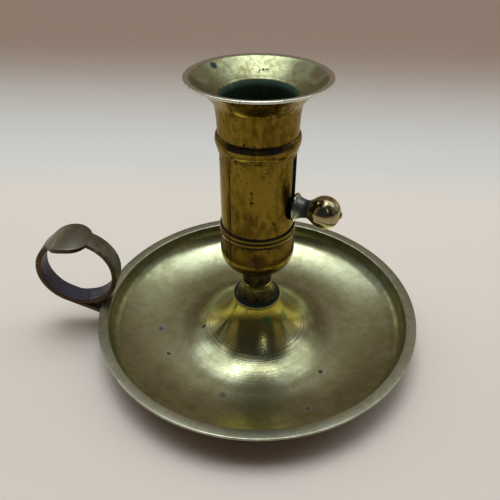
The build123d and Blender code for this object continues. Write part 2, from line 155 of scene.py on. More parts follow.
def flow(
    start: Pair, leave: Pair, end: Pair, arrive: Pair, steps: int, grime_and_shade: Pair = (0.0, 0.0)
) -> list[Knot]:
    """Knots along a smooth curve that leaves and arrives in given directions.

    Args:
        start: radius and height of the point that the curve leaves.
        leave: direction there.
        end: radius and height of the last knot.
        arrive: direction at the last knot.
        steps: number of stretches.
        grime_and_shade: soiling or painted shade at the two ends.

    Returns:
        The knots after start, up to the end.
    """
    first, last = Vector(start), Vector(end)
    chord = (last - first).length
    out, home = Vector(leave).normalized() * chord, Vector(arrive).normalized() * chord
    knots = []
    for index in range(1, steps + 1):
        t = index / steps
        point = (
            first * (2 * t**3 - 3 * t**2 + 1)
            + out * (t**3 - 2 * t**2 + t)
            + last * (-2 * t**3 + 3 * t**2)
            + home * (t**3 - t**2)
        )
        knots.append(Knot(point.x, point.y, grime_and_shade=grime_and_shade[0] + (grime_and_shade[1] - grime_and_shade[0]) * t))
    return knots


def eased(knots: Sequence[Knot], closed: bool, steps: int = 4) -> list[Knot]:
    """Round every corner that asks for it.

    Args:
        knots: the profile.
        closed: whether the last knot joins the first.
        steps: stretches in each rounded corner.

    Returns:
        The profile with its corners rounded.
    """
    result: list[Knot] = []
    count = len(knots)
    for index, knot in enumerate(knots):
        at_end = not closed and index in (0, count - 1)
        if knot.ease <= 0 or at_end:
            result.append(knot)
            continue
        here = Vector((knot.radius, knot.height))
        before, after = knots[index - 1], knots[(index + 1) % count]
        back = Vector((before.radius, before.height)) - here
        on = Vector((after.radius, after.height)) - here
        first = here + back.normalized() * min(knot.ease, back.length * CORNER_SHARE)
        last = here + on.normalized() * min(knot.ease, on.length * CORNER_SHARE)
        for step in range(steps + 1):
            t = step / steps
            point = first * (1 - t) ** 2 + here * 2 * t * (1 - t) + last * t**2
            result.append(replace(knot, radius=point.x, height=point.y, ease=0.0))
    return result


def distinct(knots: Sequence[Knot]) -> list[Knot]:
    """Leave out each knot that lies where the one before it does.

    Args:
        knots: the profile.

    Returns:
        The profile without doubled knots.
    """
    result = [knots[0]]
    for knot in knots[1:]:
        apart = math.hypot(knot.radius - result[-1].radius, knot.height - result[-1].height)
        if apart > SAME_PLACE:
            result.append(knot)
    return result


def spun(radius: float, angle: float, height: float) -> Vector:
    """Point in metres at a radius, an angle in radians and a height about the Z axis."""
    return Vector((radius * math.cos(angle), radius * math.sin(angle), height)) * MM


def new_object(name: str, vertices: list[Vector], faces: list[tuple[int, ...]]) -> bpy.types.Object:
    """Smooth-shaded mesh object linked to the scene.

    Args:
        name: name of the piece.
        vertices: points in metres.
        faces: vertex indices of each face.

    Returns:
        The object.
    """
    mesh = bpy.data.meshes.new(name)
    mesh.from_pydata([tuple(v) for v in vertices], [], faces)
    mesh.validate()
    mesh.shade_smooth()
    piece = bpy.data.objects.new(name, mesh)
    bpy.context.scene.collection.objects.link(piece)
    return piece


def paint(piece: bpy.types.Object, layers: dict[str, list[float]]) -> None:
    """Store numbers on the vertices for the materials to read.

    Args:
        piece: the mesh object.
        layers: attribute names, each with one value for every vertex.
    """
    for name, values in layers.items():
        layer = piece.data.attributes.new(name, "FLOAT", "POINT")
        layer.data.foreach_set("value", values)


def turned(
    name: str, profile: Sequence[Knot], segments: int, closed: bool, turn: Matrix | None = None
) -> bpy.types.Object:
    """Piece turned on a lathe from its profile.

    Args:
        name: name of the piece.
        profile: knots in millimetres; knots on the axis close the end.
        segments: stretches around the axis.
        closed: whether the profile is a ring, as for a tube or a sheet.
        turn: placement of the turning axis; the frame's own Z axis when left out.

    Returns:
        The piece, with grime, wear and polish stored on its vertices.
    """
    knots = distinct(eased(profile, closed))
    vertices: list[Vector] = []
    layers: dict[str, list[float]] = {"grime_and_shade": [], "wear": [], "polish": []}
    rings: list[list[int]] = []
    for knot in knots:
        on_axis = knot.radius < SAME_PLACE
        ring = []
        for step in range(1 if on_axis else segments):
            ring.append(len(vertices))
            vertices.append(spun(knot.radius, 2 * math.pi * step / segments, knot.height))
            for label, values in layers.items():
                values.append(getattr(knot, label))
        rings.append(ring)
    faces: list[tuple[int, ...]] = []
    zones: list[int] = []
    pairs = list(zip(rings[:-1], rings[1:], knots))
    if closed:
        pairs.append((rings[-1], rings[0], knots[-1]))
    for low, high, knot in pairs:
        for step in range(segments):
            a, b = low[step % len(low)], low[(step + 1) % len(low)]
            c, d = high[(step + 1) % len(high)], high[step % len(high)]
            corners = tuple(dict.fromkeys((a, b, c, d)))
            if len(corners) > 2:
                faces.append(corners)
                zones.append(knot.zone)
    if turn is not None:
        vertices = [turn @ v for v in vertices]
    piece = new_object(name, vertices, faces)
    paint(piece, layers)
    piece.data.polygons.foreach_set("material_index", zones)
    face_outward(piece)
    return piece


def face_outward(piece: bpy.types.Object) -> None:
    """Turn all faces of a closed piece outward, so that its volume is positive.

    Args:
        piece: the mesh object.
    """
    mesh = piece.data
    volume = 0.0
    for face in mesh.polygons:
        corners = [mesh.vertices[i].co for i in face.vertices]
        for first, second in zip(corners[1:-1], corners[2:]):
            volume += corners[0].dot(first.cross(second))
    if volume < 0:
        mesh.flip_normals()


@dataclass(frozen=True)
class Handwork:
    """Gentle unevenness of hand-finished metal.

    Attributes:
        depth: greatest depth that is taken off.
        size: distance over which the surface rises and falls.
        seed: offset that gives each piece its own pattern.
    """

    depth: float
    size: float
    seed: float

    def taken(self, point: Vector) -> float:
        """Depth in millimetres that is taken off at a point in millimetres."""
        shift = Vector([self.seed * part for part in SEED_SPREAD])
        return self.depth * (1 - noise.noise(point / self.size + shift)) / 2

    def work(self, piece: bpy.types.Object) -> None:
        """Take a piece's surface down along its normals.

        Args:
            piece: the mesh object.
        """
        mesh = piece.data
        normals = [v.normal.copy() for v in mesh.vertices]
        for vertex, normal in zip(mesh.vertices, normals):
            vertex.co -= normal * self.taken(vertex.co / MM) * MM
        mesh.update()


class Nodes:
    """Short ways to add and join shader nodes in one tree."""

    def __init__(self, tree: bpy.types.NodeTree) -> None:
        """Keep the tree that nodes are added to."""
        self.tree = tree

    def add(self, kind: str, **settings: object) -> bpy.types.Node:
        """Add a node.

        Args:
            kind: Blender's node type name, without the ShaderNode prefix.
            settings: properties to set on the node.

        Returns:
            The node.
        """
        node = self.tree.nodes.new("ShaderNode" + kind)
        for key, value in settings.items():
            setattr(node, key, value)
        return node

    def feed(self, node: bpy.types.Node, socket: str | int, source: object) -> None:
        """Link an output to a node's input, or set the input's own value.

        Args:
            node: the node that receives.
            socket: name or index of its input.
            source: an output socket, or a plain value.
        """
        target = node.inputs[socket]
        if isinstance(source, bpy.types.NodeSocket):
            self.tree.links.new(source, target)
        else:
            target.default_value = source

    def feed_all(self, node: bpy.types.Node, sources: dict[str, object]) -> bpy.types.Node:
        """Feed several inputs of a node.

        Args:
            node: the node that receives.
            sources: names of its inputs, each with an output socket or a plain value.

        Returns:
            The same node.
        """
        for socket, source in sources.items():
            self.feed(node, socket, source)
        return node

    def group(self, tree: bpy.types.NodeTree, values: dict[str, object]) -> bpy.types.Node:
        """Node of a shared group with its own values."""
        return self.feed_all(self.add("Group", node_tree=tree), values)

    def place(self) -> Socket:
        """Point on the surface, in the object's own metres."""
        return self.add("TexCoord").outputs["Object"]

    def stored(self, name: str) -> Socket:
        """Number that is stored on the vertices under a name."""
        return self.add("Attribute", attribute_name=name).outputs["Fac"]

    def parts(self, vector: Socket) -> tuple[Socket, ...]:
        """The three parts of a vector.

        Args:
            vector: the vector.

        Returns:
            Its X, Y and Z.
        """
        node = self.add("SeparateXYZ")
        self.feed(node, 0, vector)
        return tuple(node.outputs)

    def math(self, operation: str, first: object, second: object = 0.0, clamp: bool = False) -> Socket:
        """Result of a math node.

        Args:
            operation: Blender's name of the operation.
            first: first value.
            second: second value; an operation on one value leaves it out.
            clamp: whether the result is held between 0 and 1.

        Returns:
            The result.
        """
        node = self.add("Math", operation=operation, use_clamp=clamp)
        self.feed(node, 0, first)
        self.feed(node, 1, second)
        return node.outputs[0]

    def plus(self, first: object, second: object) -> Socket:
        """Sum of two values."""
        return self.math("ADD", first, second)

    def minus(self, first: object, second: object, clamp: bool = False) -> Socket:
        """Difference of two values, held between 0 and 1 when asked."""
        return self.math("SUBTRACT", first, second, clamp)

    def times(self, first: object, second: object) -> Socket:
        """Product of two values."""
        return self.math("MULTIPLY", first, second)

    def over(self, first: object, second: object) -> Socket:
        """Quotient of two values."""
        return self.math("DIVIDE", first, second)

    def most(self, first: object, second: object) -> Socket:
        """Larger of two values."""
        return self.math("MAXIMUM", first, second)

    def ramp(
        self, value: Socket, low: float, high: float, out_low: float = 0.0, out_high: float = 1.0
    ) -> Socket:
        """Smooth step of a value from one range to another.

        Args:
            value: the value.
            low: value at which the step starts.
            high: value at which it ends; it may lie below low.
            out_low: result at the start.
            out_high: result at the end.

        Returns:
            The result.
        """
        node = self.add("MapRange", interpolation_type="SMOOTHSTEP")
        ends = {"From Min": low, "From Max": high, "To Min": out_low, "To Max": out_high}
        return self.feed_all(node, {"Value": value, **ends}).outputs[0]

    def blend(self, share: Socket, first: Socket | Colour, second: Socket | Colour) -> Socket:
        """Colour mixed from two colours.

        Args:
            share: how much of the second colour there is.
            first: first colour.
            second: second colour.

        Returns:
            The colour.
        """
        node = self.add("Mix", data_type="RGBA")
        self.feed(node, 0, share)
        for index, colour in ((6, first), (7, second)):
            self.feed(node, index, (*colour, 1.0) if isinstance(colour, tuple) else colour)
        return node.outputs[2]

    def lerp(self, share: Socket, first: object, second: object) -> Socket:
        """Number mixed from two numbers.

        Args:
            share: how much of the second number there is.
            first: first number.
            second: second number.

        Returns:
            The number.
        """
        node = self.add("Mix", data_type="FLOAT")
        for index, value in ((0, share), (2, first), (3, second)):
            self.feed(node, index, value)
        return node.outputs[0]

    def noise(self, vector: Socket, scale: object, detail: float, rough: float) -> Socket:
        """Value of a noise texture.

        Args:
            vector: where it is looked up.
            scale: waves in a metre.
            detail: number of finer layers.
            rough: strength of each finer layer.

        Returns:
            The value, which varies about NOISE_MIDDLE.
        """
        node = self.add("TexNoise")
        sources = {"Vector": vector, "Scale": scale, "Detail": detail, "Roughness": rough}
        return self.feed_all(node, sources).outputs[0]


class Effects:
    """Surface effects that several finishes share, each one shader node group.

    Attributes:
        MOTTLE_FINER: how many times finer the mottling is than the clouds.
        MOTTLE_SHARE: share of the mottling in the clouds.
        PATCH_SCALE: patches of crowded pits in a metre.
        PATCH_PULL: how much a patch adds to the pits.
        CROWDING_PULL: how much a finish's crowding adds to the pits.
        DIRT_AND_SHADE_PULL: how ragged the border of the soiling and the painted shade is.
        RUBBED_LEVEL: level that wear has to pass before an edge turns bright.
        SPOT_GRAIN: waves in a spot's radius.
        SEAM_GRAIN: waves in a metre along a seam.
    """

    MOTTLE_FINER = 7.0
    MOTTLE_SHARE = 0.45
    PATCH_SCALE = 60.0
    PATCH_PULL = 0.35
    CROWDING_PULL = 0.2
    DIRT_AND_SHADE_PULL = 0.7
    RUBBED_LEVEL = 0.75
    SPOT_GRAIN = 1.2
    SEAM_GRAIN = 260.0

    def __init__(self) -> None:
        """Build every group once."""
        self.clouds = self._clouds()
        self.specks = self._specks()
        self.turning = self._turning()
        self.grime_and_shade = self._grime_and_shade()
        self.scuffs = self._scuffs()
        self.dents = self._dents()
        self.stain_or_reflection = self._stain()
        self.seam = self._seam()

    @staticmethod
    def _group(
        name: str, inputs: dict[str, float | Point], outputs: Sequence[str]
    ) -> tuple[Nodes, bpy.types.NodeOutputs, bpy.types.Node]:
        """Empty group with named sockets.

        Args:
            name: name of the group.
            inputs: input names with their defaults; a default of three numbers makes a vector socket.
            outputs: names of the outputs, which are all plain values.

        Returns:
            The node helper, the values given to the group, and its output node.
        """
        tree = bpy.data.node_groups.new(name, "ShaderNodeTree")
        for label, default in inputs.items():
            kind = "NodeSocketVector" if isinstance(default, tuple) else "NodeSocketFloat"
            socket = tree.interface.new_socket(label, in_out="INPUT", socket_type=kind)
            socket.default_value = default
        for label in outputs:
            tree.interface.new_socket(label, in_out="OUTPUT", socket_type="NodeSocketFloat")
        given = tree.nodes.new("NodeGroupInput").outputs
        return Nodes(tree), given, tree.nodes.new("NodeGroupOutput")

    def _clouds(self) -> bpy.types.NodeTree:
        """Soft clouds of tarnish, with finer mottling inside them.

        Returns:
            The group.
        """
        inputs = {"Scale": 40.0, "Amount": 0.5, "Stretch": 1.0}
        nodes, given, result = self._group("tarnish clouds", inputs, ["Mask"])
        x, y, z = nodes.parts(nodes.place())
        squeezed = nodes.add("CombineXYZ")
        for index, part in enumerate((x, y, nodes.over(z, given["Stretch"]))):
            nodes.feed(squeezed, index, part)
        place = squeezed.outputs[0]
        broad = nodes.noise(place, given["Scale"], detail=4.0, rough=0.6)
        finer = nodes.times(given["Scale"], self.MOTTLE_FINER)
        fine = nodes.noise(place, finer, detail=3.0, rough=0.6)
        both = nodes.plus(nodes.times(broad, 1 - self.MOTTLE_SHARE), nodes.times(fine, self.MOTTLE_SHARE))
        level = nodes.plus(both, nodes.minus(given["Amount"], NOISE_MIDDLE))
        nodes.feed(result, "Mask", nodes.ramp(level, low=0.39, high=0.61))
        return nodes.tree

    def _specks(self) -> bpy.types.NodeTree:
        """Small ragged pits, crowded in some places and few in others.

        Returns:
            The group.
        """
        nodes, given, result = self._group("pit specks", {"Scale": 800.0, "Crowding": 0.3}, ["Mask"])
        place = nodes.place()
        grain = nodes.noise(place, given["Scale"], detail=2.0, rough=0.5)
        patch = nodes.minus(nodes.noise(place, self.PATCH_SCALE, detail=2.0, rough=0.55), NOISE_MIDDLE)
        crowd = nodes.times(given["Crowding"], self.CROWDING_PULL)
        level = nodes.plus(nodes.plus(grain, nodes.times(patch, self.PATCH_PULL)), crowd)
        nodes.feed(result, "Mask", nodes.ramp(level, low=0.76, high=0.82))
        return nodes.tree

    def _turning(self) -> bpy.types.NodeTree:
        """Fine concentric marks of the lathe about the candle axis.

        Returns:
            The group.
        """
        inputs = {"Marks per metre": 1500.0, "Rise": 0.8}
        nodes, given, result = self._group("turning marks", inputs, ["Height"])
        x, y, z = nodes.parts(nodes.place())
        across = nodes.math("SQRT", nodes.plus(nodes.math("POWER", x, 2.0), nodes.math("POWER", y, 2.0)))
        along = nodes.plus(across, nodes.times(z, given["Rise"]))
        line = nodes.add("TexNoise", noise_dimensions="1D")
        sources = {"W": along, "Scale": given["Marks per metre"], "Detail": 4.0, "Roughness": 0.7}
        nodes.feed(result, "Height", nodes.feed_all(line, sources).outputs[0])
        return nodes.tree

    def _grime_and_shade(self) -> bpy.types.NodeTree:
        """Crevice soiling, or painted shade, broken up along its length; it turns green where it lies
        thickest.

        Returns:
            The group.
        """
        inputs = {"Grime_and_shade": 0.0, "Scale": 350.0}
        nodes, given, result = self._group("crevice grime", inputs, ["Dirt_and_shade", "Verdigris"])
        ragged = nodes.noise(nodes.place(), given["Scale"], detail=4.0, rough=0.65)
        pull = nodes.times(nodes.minus(ragged, NOISE_MIDDLE), self.DIRT_AND_SHADE_PULL)
        level = nodes.plus(given["Grime_and_shade"], pull)
        nodes.feed(result, "Dirt_and_shade", nodes.ramp(level, low=0.3, high=0.75))
        nodes.feed(result, "Verdigris", nodes.ramp(level, low=0.62, high=1.05))
        return nodes.tree

    def _scuffs(self) -> bpy.types.NodeTree:
        """Bright rubbed edges, broken up as use leaves them.

        Returns:
            The group.
        """
        nodes, given, result = self._group("rubbed edges", {"Wear": 0.0, "Scale": 160.0}, ["Mask"])
        ragged = nodes.noise(nodes.place(), given["Scale"], detail=4.0, rough=0.6)
        level = nodes.plus(given["Wear"], nodes.minus(ragged, self.RUBBED_LEVEL))
        nodes.feed(result, "Mask", nodes.ramp(level, low=0.0, high=0.5))
        return nodes.tree

    def _dents(self) -> bpy.types.NodeTree:
        """Shallow dents and dimples that long use leaves in polished metal.

        Returns:
            The group.
        """
        nodes, given, result = self._group("worn dents", {"Scale": 500.0}, ["Height"])
        height = nodes.noise(nodes.place(), given["Scale"], detail=2.0, rough=0.6)
        nodes.feed(result, "Height", height)
        return nodes.tree

    def _stain(self) -> bpy.types.NodeTree:
        """One ragged spot about a place given in metres.

        Returns:
            The group.
        """
        inputs = {"Centre": (0.0, 0.0, 0.0), "Radius": 0.001, "Raggedness": 0.7}
        nodes, given, result = self._group("stain spot", inputs, ["Mask"])
        place = nodes.place()
        apart = nodes.add("VectorMath", operation="DISTANCE")
        nodes.feed(apart, 0, place)
        nodes.feed(apart, 1, given["Centre"])
        reach = nodes.over(apart.outputs["Value"], given["Radius"])
        grain = nodes.over(self.SPOT_GRAIN, given["Radius"])
        wander = nodes.minus(nodes.noise(place, grain, detail=4.0, rough=0.65), NOISE_MIDDLE)
        ragged = nodes.plus(reach, nodes.times(wander, given["Raggedness"]))
        nodes.feed(result, "Mask", nodes.ramp(ragged, low=1.0, high=0.45))
        return nodes.tree

    def _seam(self) -> bpy.types.NodeTree:
        """Straight seam down one side of a turned piece, at an azimuth in radians.

        Returns:
            The group.
        """
        inputs = {"Azimuth": 0.0, "Width": 0.0004}
        nodes, given, result = self._group("brazed seam", inputs, ["Mask"])
        place = nodes.place()
        x, y, _ = nodes.parts(place)
        cosine = nodes.math("COSINE", given["Azimuth"])
        sine = nodes.math("SINE", given["Azimuth"])
        across = nodes.minus(nodes.times(y, cosine), nodes.times(x, sine))
        along = nodes.plus(nodes.times(x, cosine), nodes.times(y, sine))
        off = nodes.over(nodes.math("ABSOLUTE", across), given["Width"])
        line = nodes.times(nodes.ramp(off, low=1.0, high=0.3), nodes.math("GREATER_THAN", along, 0.0))
        ragged = nodes.noise(place, self.SEAM_GRAIN, detail=3.0, rough=0.6)
        broken = nodes.ramp(ragged, low=0.25, high=0.5, out_low=0.5)
        nodes.feed(result, "Mask", nodes.times(line, broken))
        return nodes.tree


@dataclass(frozen=True)
class StainOrReflection:
    """A spot that has bitten into the brass, or a tint that paints a reflection on it.

    Attributes:
        place: its centre.
        radius: its radius.
        colour: its colour.
        strength: how much of the brass's colour it covers, 0 to 1.
        bite: how much it dulls the metal, 0 to 1; a mere tint leaves it shining.
    """

    place: Point
    radius: float
    colour: Colour = (0.009, 0.008, 0.007)
    strength: float = 0.9
    bite: float = 1.0


@dataclass(frozen=True)
class Layers:
    """What lies on one finish, as sockets of its material.

    Attributes:
        tarnish: share of dulled brass.
        specks: mask of the pits.
        dirt_and_shade: mask of the soiling in crevices and of the painted shade.
        verdigris: mask of the green in thick dirt.
        marks: height of the turning marks.
        dents: height of the dents.
        polish: how far the lathe's polish has lasted.
    """

    tarnish: Socket
    specks: Socket
    dirt_and_shade: Socket
    verdigris: Socket
    marks: Socket
    dents: Socket
    polish: Socket


@dataclass(frozen=True)
class BrassFinish:
    """One state of old brass, from hand-polished to left alone.

    Attributes:
        name: name of its material.
        bright: colour of clean brass.
        dull: colour of tarnished brass.
        pit: colour of the pits.
        dirt_and_shade: colour of the soiling in crevices, which also paints the shade.
        verdigris: colour of the dirt where it lies thickest.
        bright_roughness: roughness of clean brass.
        dull_roughness: roughness of tarnished brass.
        tarnish: how much of the surface is tarnished, 0 to 1.
        cloud_scale: clouds of tarnish in a metre.
        pit_scale: pits in a metre.
        marks_depth: height of the turning marks.
        pit_crowding: how close the pits lie; below 0 there are few.
        marks_per_metre: turning marks in a metre across the piece.
        marks_rise: how far a mark shifts across for each step up.
        cloud_stretch: how much longer the clouds are upright than across.
        dent_scale: dents in a metre.
        dent_depth: height of the dents.
        edge_tint: colour of the glancing shine.
        seam_azimuth: side of a brazed seam in degrees, where there is one.
        stains_and_reflections: single spots, stained or painted as a reflection.
    """

    name: str
    bright: Colour
    dull: Colour
    pit: Colour
    dirt_and_shade: Colour
    verdigris: Colour
    bright_roughness: float
    dull_roughness: float
    tarnish: float
    cloud_scale: float
    pit_scale: float
    marks_depth: float
    pit_crowding: float = 0.3
    marks_per_metre: float = 1500.0
    marks_rise: float = 0.8
    cloud_stretch: float = 1.0
    dent_scale: float = 500.0
    dent_depth: float = 0.0
    edge_tint: Colour = (1.0, 1.0, 1.0)
    seam_azimuth: float | None = None
    stains_and_reflections: tuple[StainOrReflection, ...] = ()

    def material(self, effects: Effects) -> bpy.types.Material:
        """Procedural material of this finish, made the first time that it is asked for.

        Args:
            effects: the shared node groups.

        Returns:
            The material.
        """
        known = bpy.data.materials.get(self.name)
        if known is not None:
            return known
        material = bpy.data.materials.new(self.name)
        material.use_nodes = True
        nodes = Nodes(material.node_tree)
        layers = self._layers(nodes, effects)
        colour = self._colour(nodes, layers)
        pits_dirt_and_shade = nodes.most(layers.dirt_and_shade, layers.specks)
        soiled_and_shaded = pits_dirt_and_shade
        for mask, tint, bite in self._marks(nodes, effects):
            colour = nodes.blend(mask, colour, tint)
            if bite > 0:
                soiled_and_shaded = nodes.most(soiled_and_shaded, nodes.times(mask, bite))
        plain = nodes.lerp(layers.tarnish, self.bright_roughness, self.dull_roughness)
        rough = nodes.times(plain, nodes.lerp(layers.polish, 1.0, POLISHED_ROUGHNESS))
        sources = {
            "Base Color": colour,
            "Roughness": nodes.lerp(soiled_and_shaded, rough, DIRT_ROUGHNESS),
            "Metallic": nodes.lerp(soiled_and_shaded, 1.0, DIRT_METAL),
            "Specular IOR Level": DIRT_SHINE,
            "Specular Tint": (*self.edge_tint, 1.0),
            "Normal": self._relief(nodes, layers, pits_dirt_and_shade),
        }
        nodes.feed_all(material.node_tree.nodes["Principled BSDF"], sources)
        return material

    def _layers(self, nodes: Nodes, effects: Effects) -> Layers:
        """Put the shared effects into the material with this finish's values.

        Args:
            nodes: the material's nodes.
            effects: the shared node groups.

        Returns:
            What the effects give.
        """
        haze = {"Scale": self.cloud_scale, "Amount": self.tarnish, "Stretch": self.cloud_stretch}
        clouds = nodes.group(effects.clouds, haze).outputs["Mask"]
        rubbed = nodes.group(effects.scuffs, {"Wear": nodes.stored("wear")}).outputs["Mask"]
        pits = {"Scale": self.pit_scale, "Crowding": self.pit_crowding}
        grime_and_shade = nodes.group(effects.grime_and_shade, {"Grime_and_shade": nodes.stored("grime_and_shade")}).outputs
        lathe = {"Marks per metre": self.marks_per_metre, "Rise": self.marks_rise}
        return Layers(
            tarnish=nodes.minus(clouds, nodes.times(rubbed, RUBBED_CLEAN), clamp=True),
            specks=nodes.group(effects.specks, pits).outputs["Mask"],
            dirt_and_shade=grime_and_shade["Dirt_and_shade"],
            verdigris=grime_and_shade["Verdigris"],
            marks=nodes.group(effects.turning, lathe).outputs["Height"],
            dents=nodes.group(effects.dents, {"Scale": self.dent_scale}).outputs["Height"],
            polish=nodes.stored("polish"),
        )

    def _colour(self, nodes: Nodes, layers: Layers) -> Socket:
        """Colour of the brass under its single spots, stained or painted as reflections.

        Args:
            nodes: the material's nodes.
            layers: what lies on the brass.

        Returns:
            The colour.
        """
        grooves = nodes.ramp(layers.marks, GROOVE_TOP, GROOVE_FLOOR, out_high=GROOVE_DIRT)
        colour = nodes.blend(layers.tarnish, self.bright, self.dull)
        for mask, tint in (
            (layers.specks, self.pit),
            (layers.dirt_and_shade, self.dirt_and_shade),
            (layers.verdigris, self.verdigris),
            (nodes.times(grooves, layers.polish), self.dirt_and_shade),
        ):
            colour = nodes.blend(mask, colour, tint)
        return colour

    def _relief(self, nodes: Nodes, layers: Layers, pits_dirt_and_shade: Socket) -> Socket:
        """Normal with the turning marks, the dents and the pits.

        Args:
            nodes: the material's nodes.
            layers: what lies on the brass.
            pits_dirt_and_shade: mask of the pits, the soiling and the painted shade.

        Returns:
            The normal.
        """
        depth = nodes.lerp(layers.polish, self.marks_depth, self.marks_depth * POLISHED_MARKS)
        raised = nodes.plus(nodes.times(layers.marks, depth), nodes.times(layers.dents, self.dent_depth))
        height = nodes.minus(raised, nodes.times(pits_dirt_and_shade, PIT_DEPTH))
        sources = {"Strength": RELIEF_STRENGTH, "Distance": MM, "Height": height}
        return nodes.feed_all(nodes.add("Bump"), sources).outputs[0]

    def _marks(self, nodes: Nodes, effects: Effects) -> list[tuple[Socket, Colour, float]]:
        """Masks, colours and bites of the single spots, stained or painted as reflections, and of the
        seam.

        Args:
            nodes: the material's nodes.
            effects: the shared node groups.

        Returns:
            For each mark its mask, the colour that it lays on and how much it dulls the metal.
        """
        marks = []
        for stain_or_reflection in self.stains_and_reflections:
            centre = tuple(part * MM for part in stain_or_reflection.place)
            spot = nodes.group(effects.stain_or_reflection, {"Centre": centre, "Radius": stain_or_reflection.radius * MM})
            cover = nodes.times(spot.outputs["Mask"], stain_or_reflection.strength)
            marks.append((cover, stain_or_reflection.colour, stain_or_reflection.bite))
        if self.seam_azimuth is not None:
            seam = nodes.group(effects.seam, {"Azimuth": math.radians(self.seam_azimuth)})
            marks.append((seam.outputs["Mask"], self.dirt_and_shade, SEAM_BITE))
        return marks


# Painted reflection: the yellow of the stem as the pan's cone mirrors it.
STEM_REFLECTION_YELLOW: Colour = (0.56, 0.43, 0.08)
BLUE_GREY: Colour = (0.03, 0.038, 0.056)
STREAK_GREEN: Colour = (0.03, 0.16, 0.07)
BLUE_BLACK: Colour = (0.008, 0.01, 0.03)
TEA_BROWN: Colour = (0.1, 0.065, 0.028)
RUST_BROWN: Colour = (0.03, 0.012, 0.008)

PAN_FINISH = BrassFinish(
    name="pan brass, clouded satin",
    bright=(0.37, 0.362, 0.2),
    dull=(0.25, 0.23, 0.108),
    pit=(0.012, 0.012, 0.01),
    dirt_and_shade=(0.05, 0.05, 0.035),
    verdigris=(0.012, 0.05, 0.05),
    bright_roughness=0.27,
    dull_roughness=0.32,
    tarnish=0.5,
    cloud_scale=36.0,
    pit_scale=650.0,
    pit_crowding=-0.3,
    marks_per_metre=1000.0,
    marks_depth=0.06,
    marks_rise=-0.8,
    dent_scale=260.0,
    dent_depth=0.02,
    stains_and_reflections=(
        # Painted reflection: a yellow tint round the stem's foot stands for the stem mirrored in the
        # cone.
        StainOrReflection((0.0, 0.0, 19.5), 27.0, STEM_REFLECTION_YELLOW, 0.85, bite=0.0),
        StainOrReflection((-37.7, -3.9, 1.5), 1.8, BLUE_GREY, 0.85),
        StainOrReflection((-20.7, -4.0, 3.9), 1.3),
        StainOrReflection((-32.4, -16.7, 1.4), 1.2),
        StainOrReflection((-10.0, -34.3, 1.3), 1.5, BLUE_GREY, 0.45, bite=0.0),
        StainOrReflection((19.6, -39.0, 2.4), 1.4),
        StainOrReflection((24.6, -21.7, 1.4), 1.2),
        StainOrReflection((4.2, -10.2, 14.0), 2.8, STREAK_GREEN, 0.8, bite=0.35),
        StainOrReflection((10.6, -5.0, 13.0), 3.0, STREAK_GREEN, 0.45, bite=0.2),
    ),
)
LIP_FINISH = replace(
    PAN_FINISH,
    name="lip brass, brushed grey",
    bright=(0.375, 0.365, 0.235),
    dull=(0.25, 0.237, 0.145),
    bright_roughness=0.28,
    dull_roughness=0.33,
    cloud_scale=60.0,
    marks_per_metre=2600.0,
    marks_depth=0.04,
    pit_crowding=-0.2,
    dent_depth=0.01,
)
UNDERSIDE_FINISH = replace(
    PAN_FINISH,
    name="underside brass, brown",
    bright=(0.2, 0.137, 0.058),
    dull=(0.115, 0.074, 0.031),
    bright_roughness=0.4,
    dull_roughness=0.55,
    stains_and_reflections=(),
)
SOCKET_FINISH = BrassFinish(
    name="socket brass, polished and spotted",
    bright=(0.195, 0.129, 0.015),
    dull=(0.088, 0.054, 0.006),
    pit=(0.07, 0.044, 0.014),
    dirt_and_shade=(0.015, 0.007, 0.004),
    verdigris=(0.012, 0.045, 0.05),
    bright_roughness=0.18,
    dull_roughness=0.3,
    tarnish=0.46,
    cloud_scale=95.0,
    cloud_stretch=2.6,
    pit_scale=1050.0,
    pit_crowding=0.45,
    marks_depth=0.02,
    dent_scale=650.0,
    dent_depth=0.05,
    edge_tint=(0.86, 0.78, 0.63),
    seam_azimuth=-132.5,
    stains_and_reflections=(
        StainOrReflection((-1.3, -12.3, 70.3), 0.55),
        StainOrReflection((-1.3, -12.3, 66.7), 0.6),
        StainOrReflection((6.0, -10.8, 58.1), 0.5),
        StainOrReflection((6.1, -10.7, 56.2), 0.5),
        StainOrReflection((0.8, -12.8, 44.0), 4.2, RUST_BROWN, 0.5, bite=0.5),
        StainOrReflection((6.5, -11.0, 42.5), 1.8, RUST_BROWN, 0.5, bite=0.5),
    ),
)
BOWL_FINISH = replace(
    SOCKET_FINISH,
    name="bowl brass, browner",
    bright=(0.15, 0.096, 0.011),
    dull=(0.066, 0.04, 0.005),
)
UNMARKED_SOCKET = replace(SOCKET_FINISH, seam_azimuth=None, stains_and_reflections=())
NECK_FINISH = replace(
    UNMARKED_SOCKET,
    name="neck brass, polished and spotted",
    stains_and_reflections=(
        StainOrReflection((-3.5, -12.3, 86.4), 0.6),
        StainOrReflection((-5.9, -11.2, 80.4), 0.8),
        StainOrReflection((-6.0, -11.4, 96.0), 0.5),
    ),
)
FOOT_FINISH = replace(
    UNMARKED_SOCKET,
    name="foot brass, olive",
    bright=(0.22, 0.175, 0.045),
    dull=(0.08, 0.075, 0.03),
)
RIM_FINISH = replace(
    UNMARKED_SOCKET,
    name="rim brass, rubbed pale",
    bright=(0.64, 0.64, 0.51),
    dull=(0.43, 0.415, 0.31),
    edge_tint=(1.0, 1.0, 1.0),
    bright_roughness=0.24,
    dull_roughness=0.34,
)
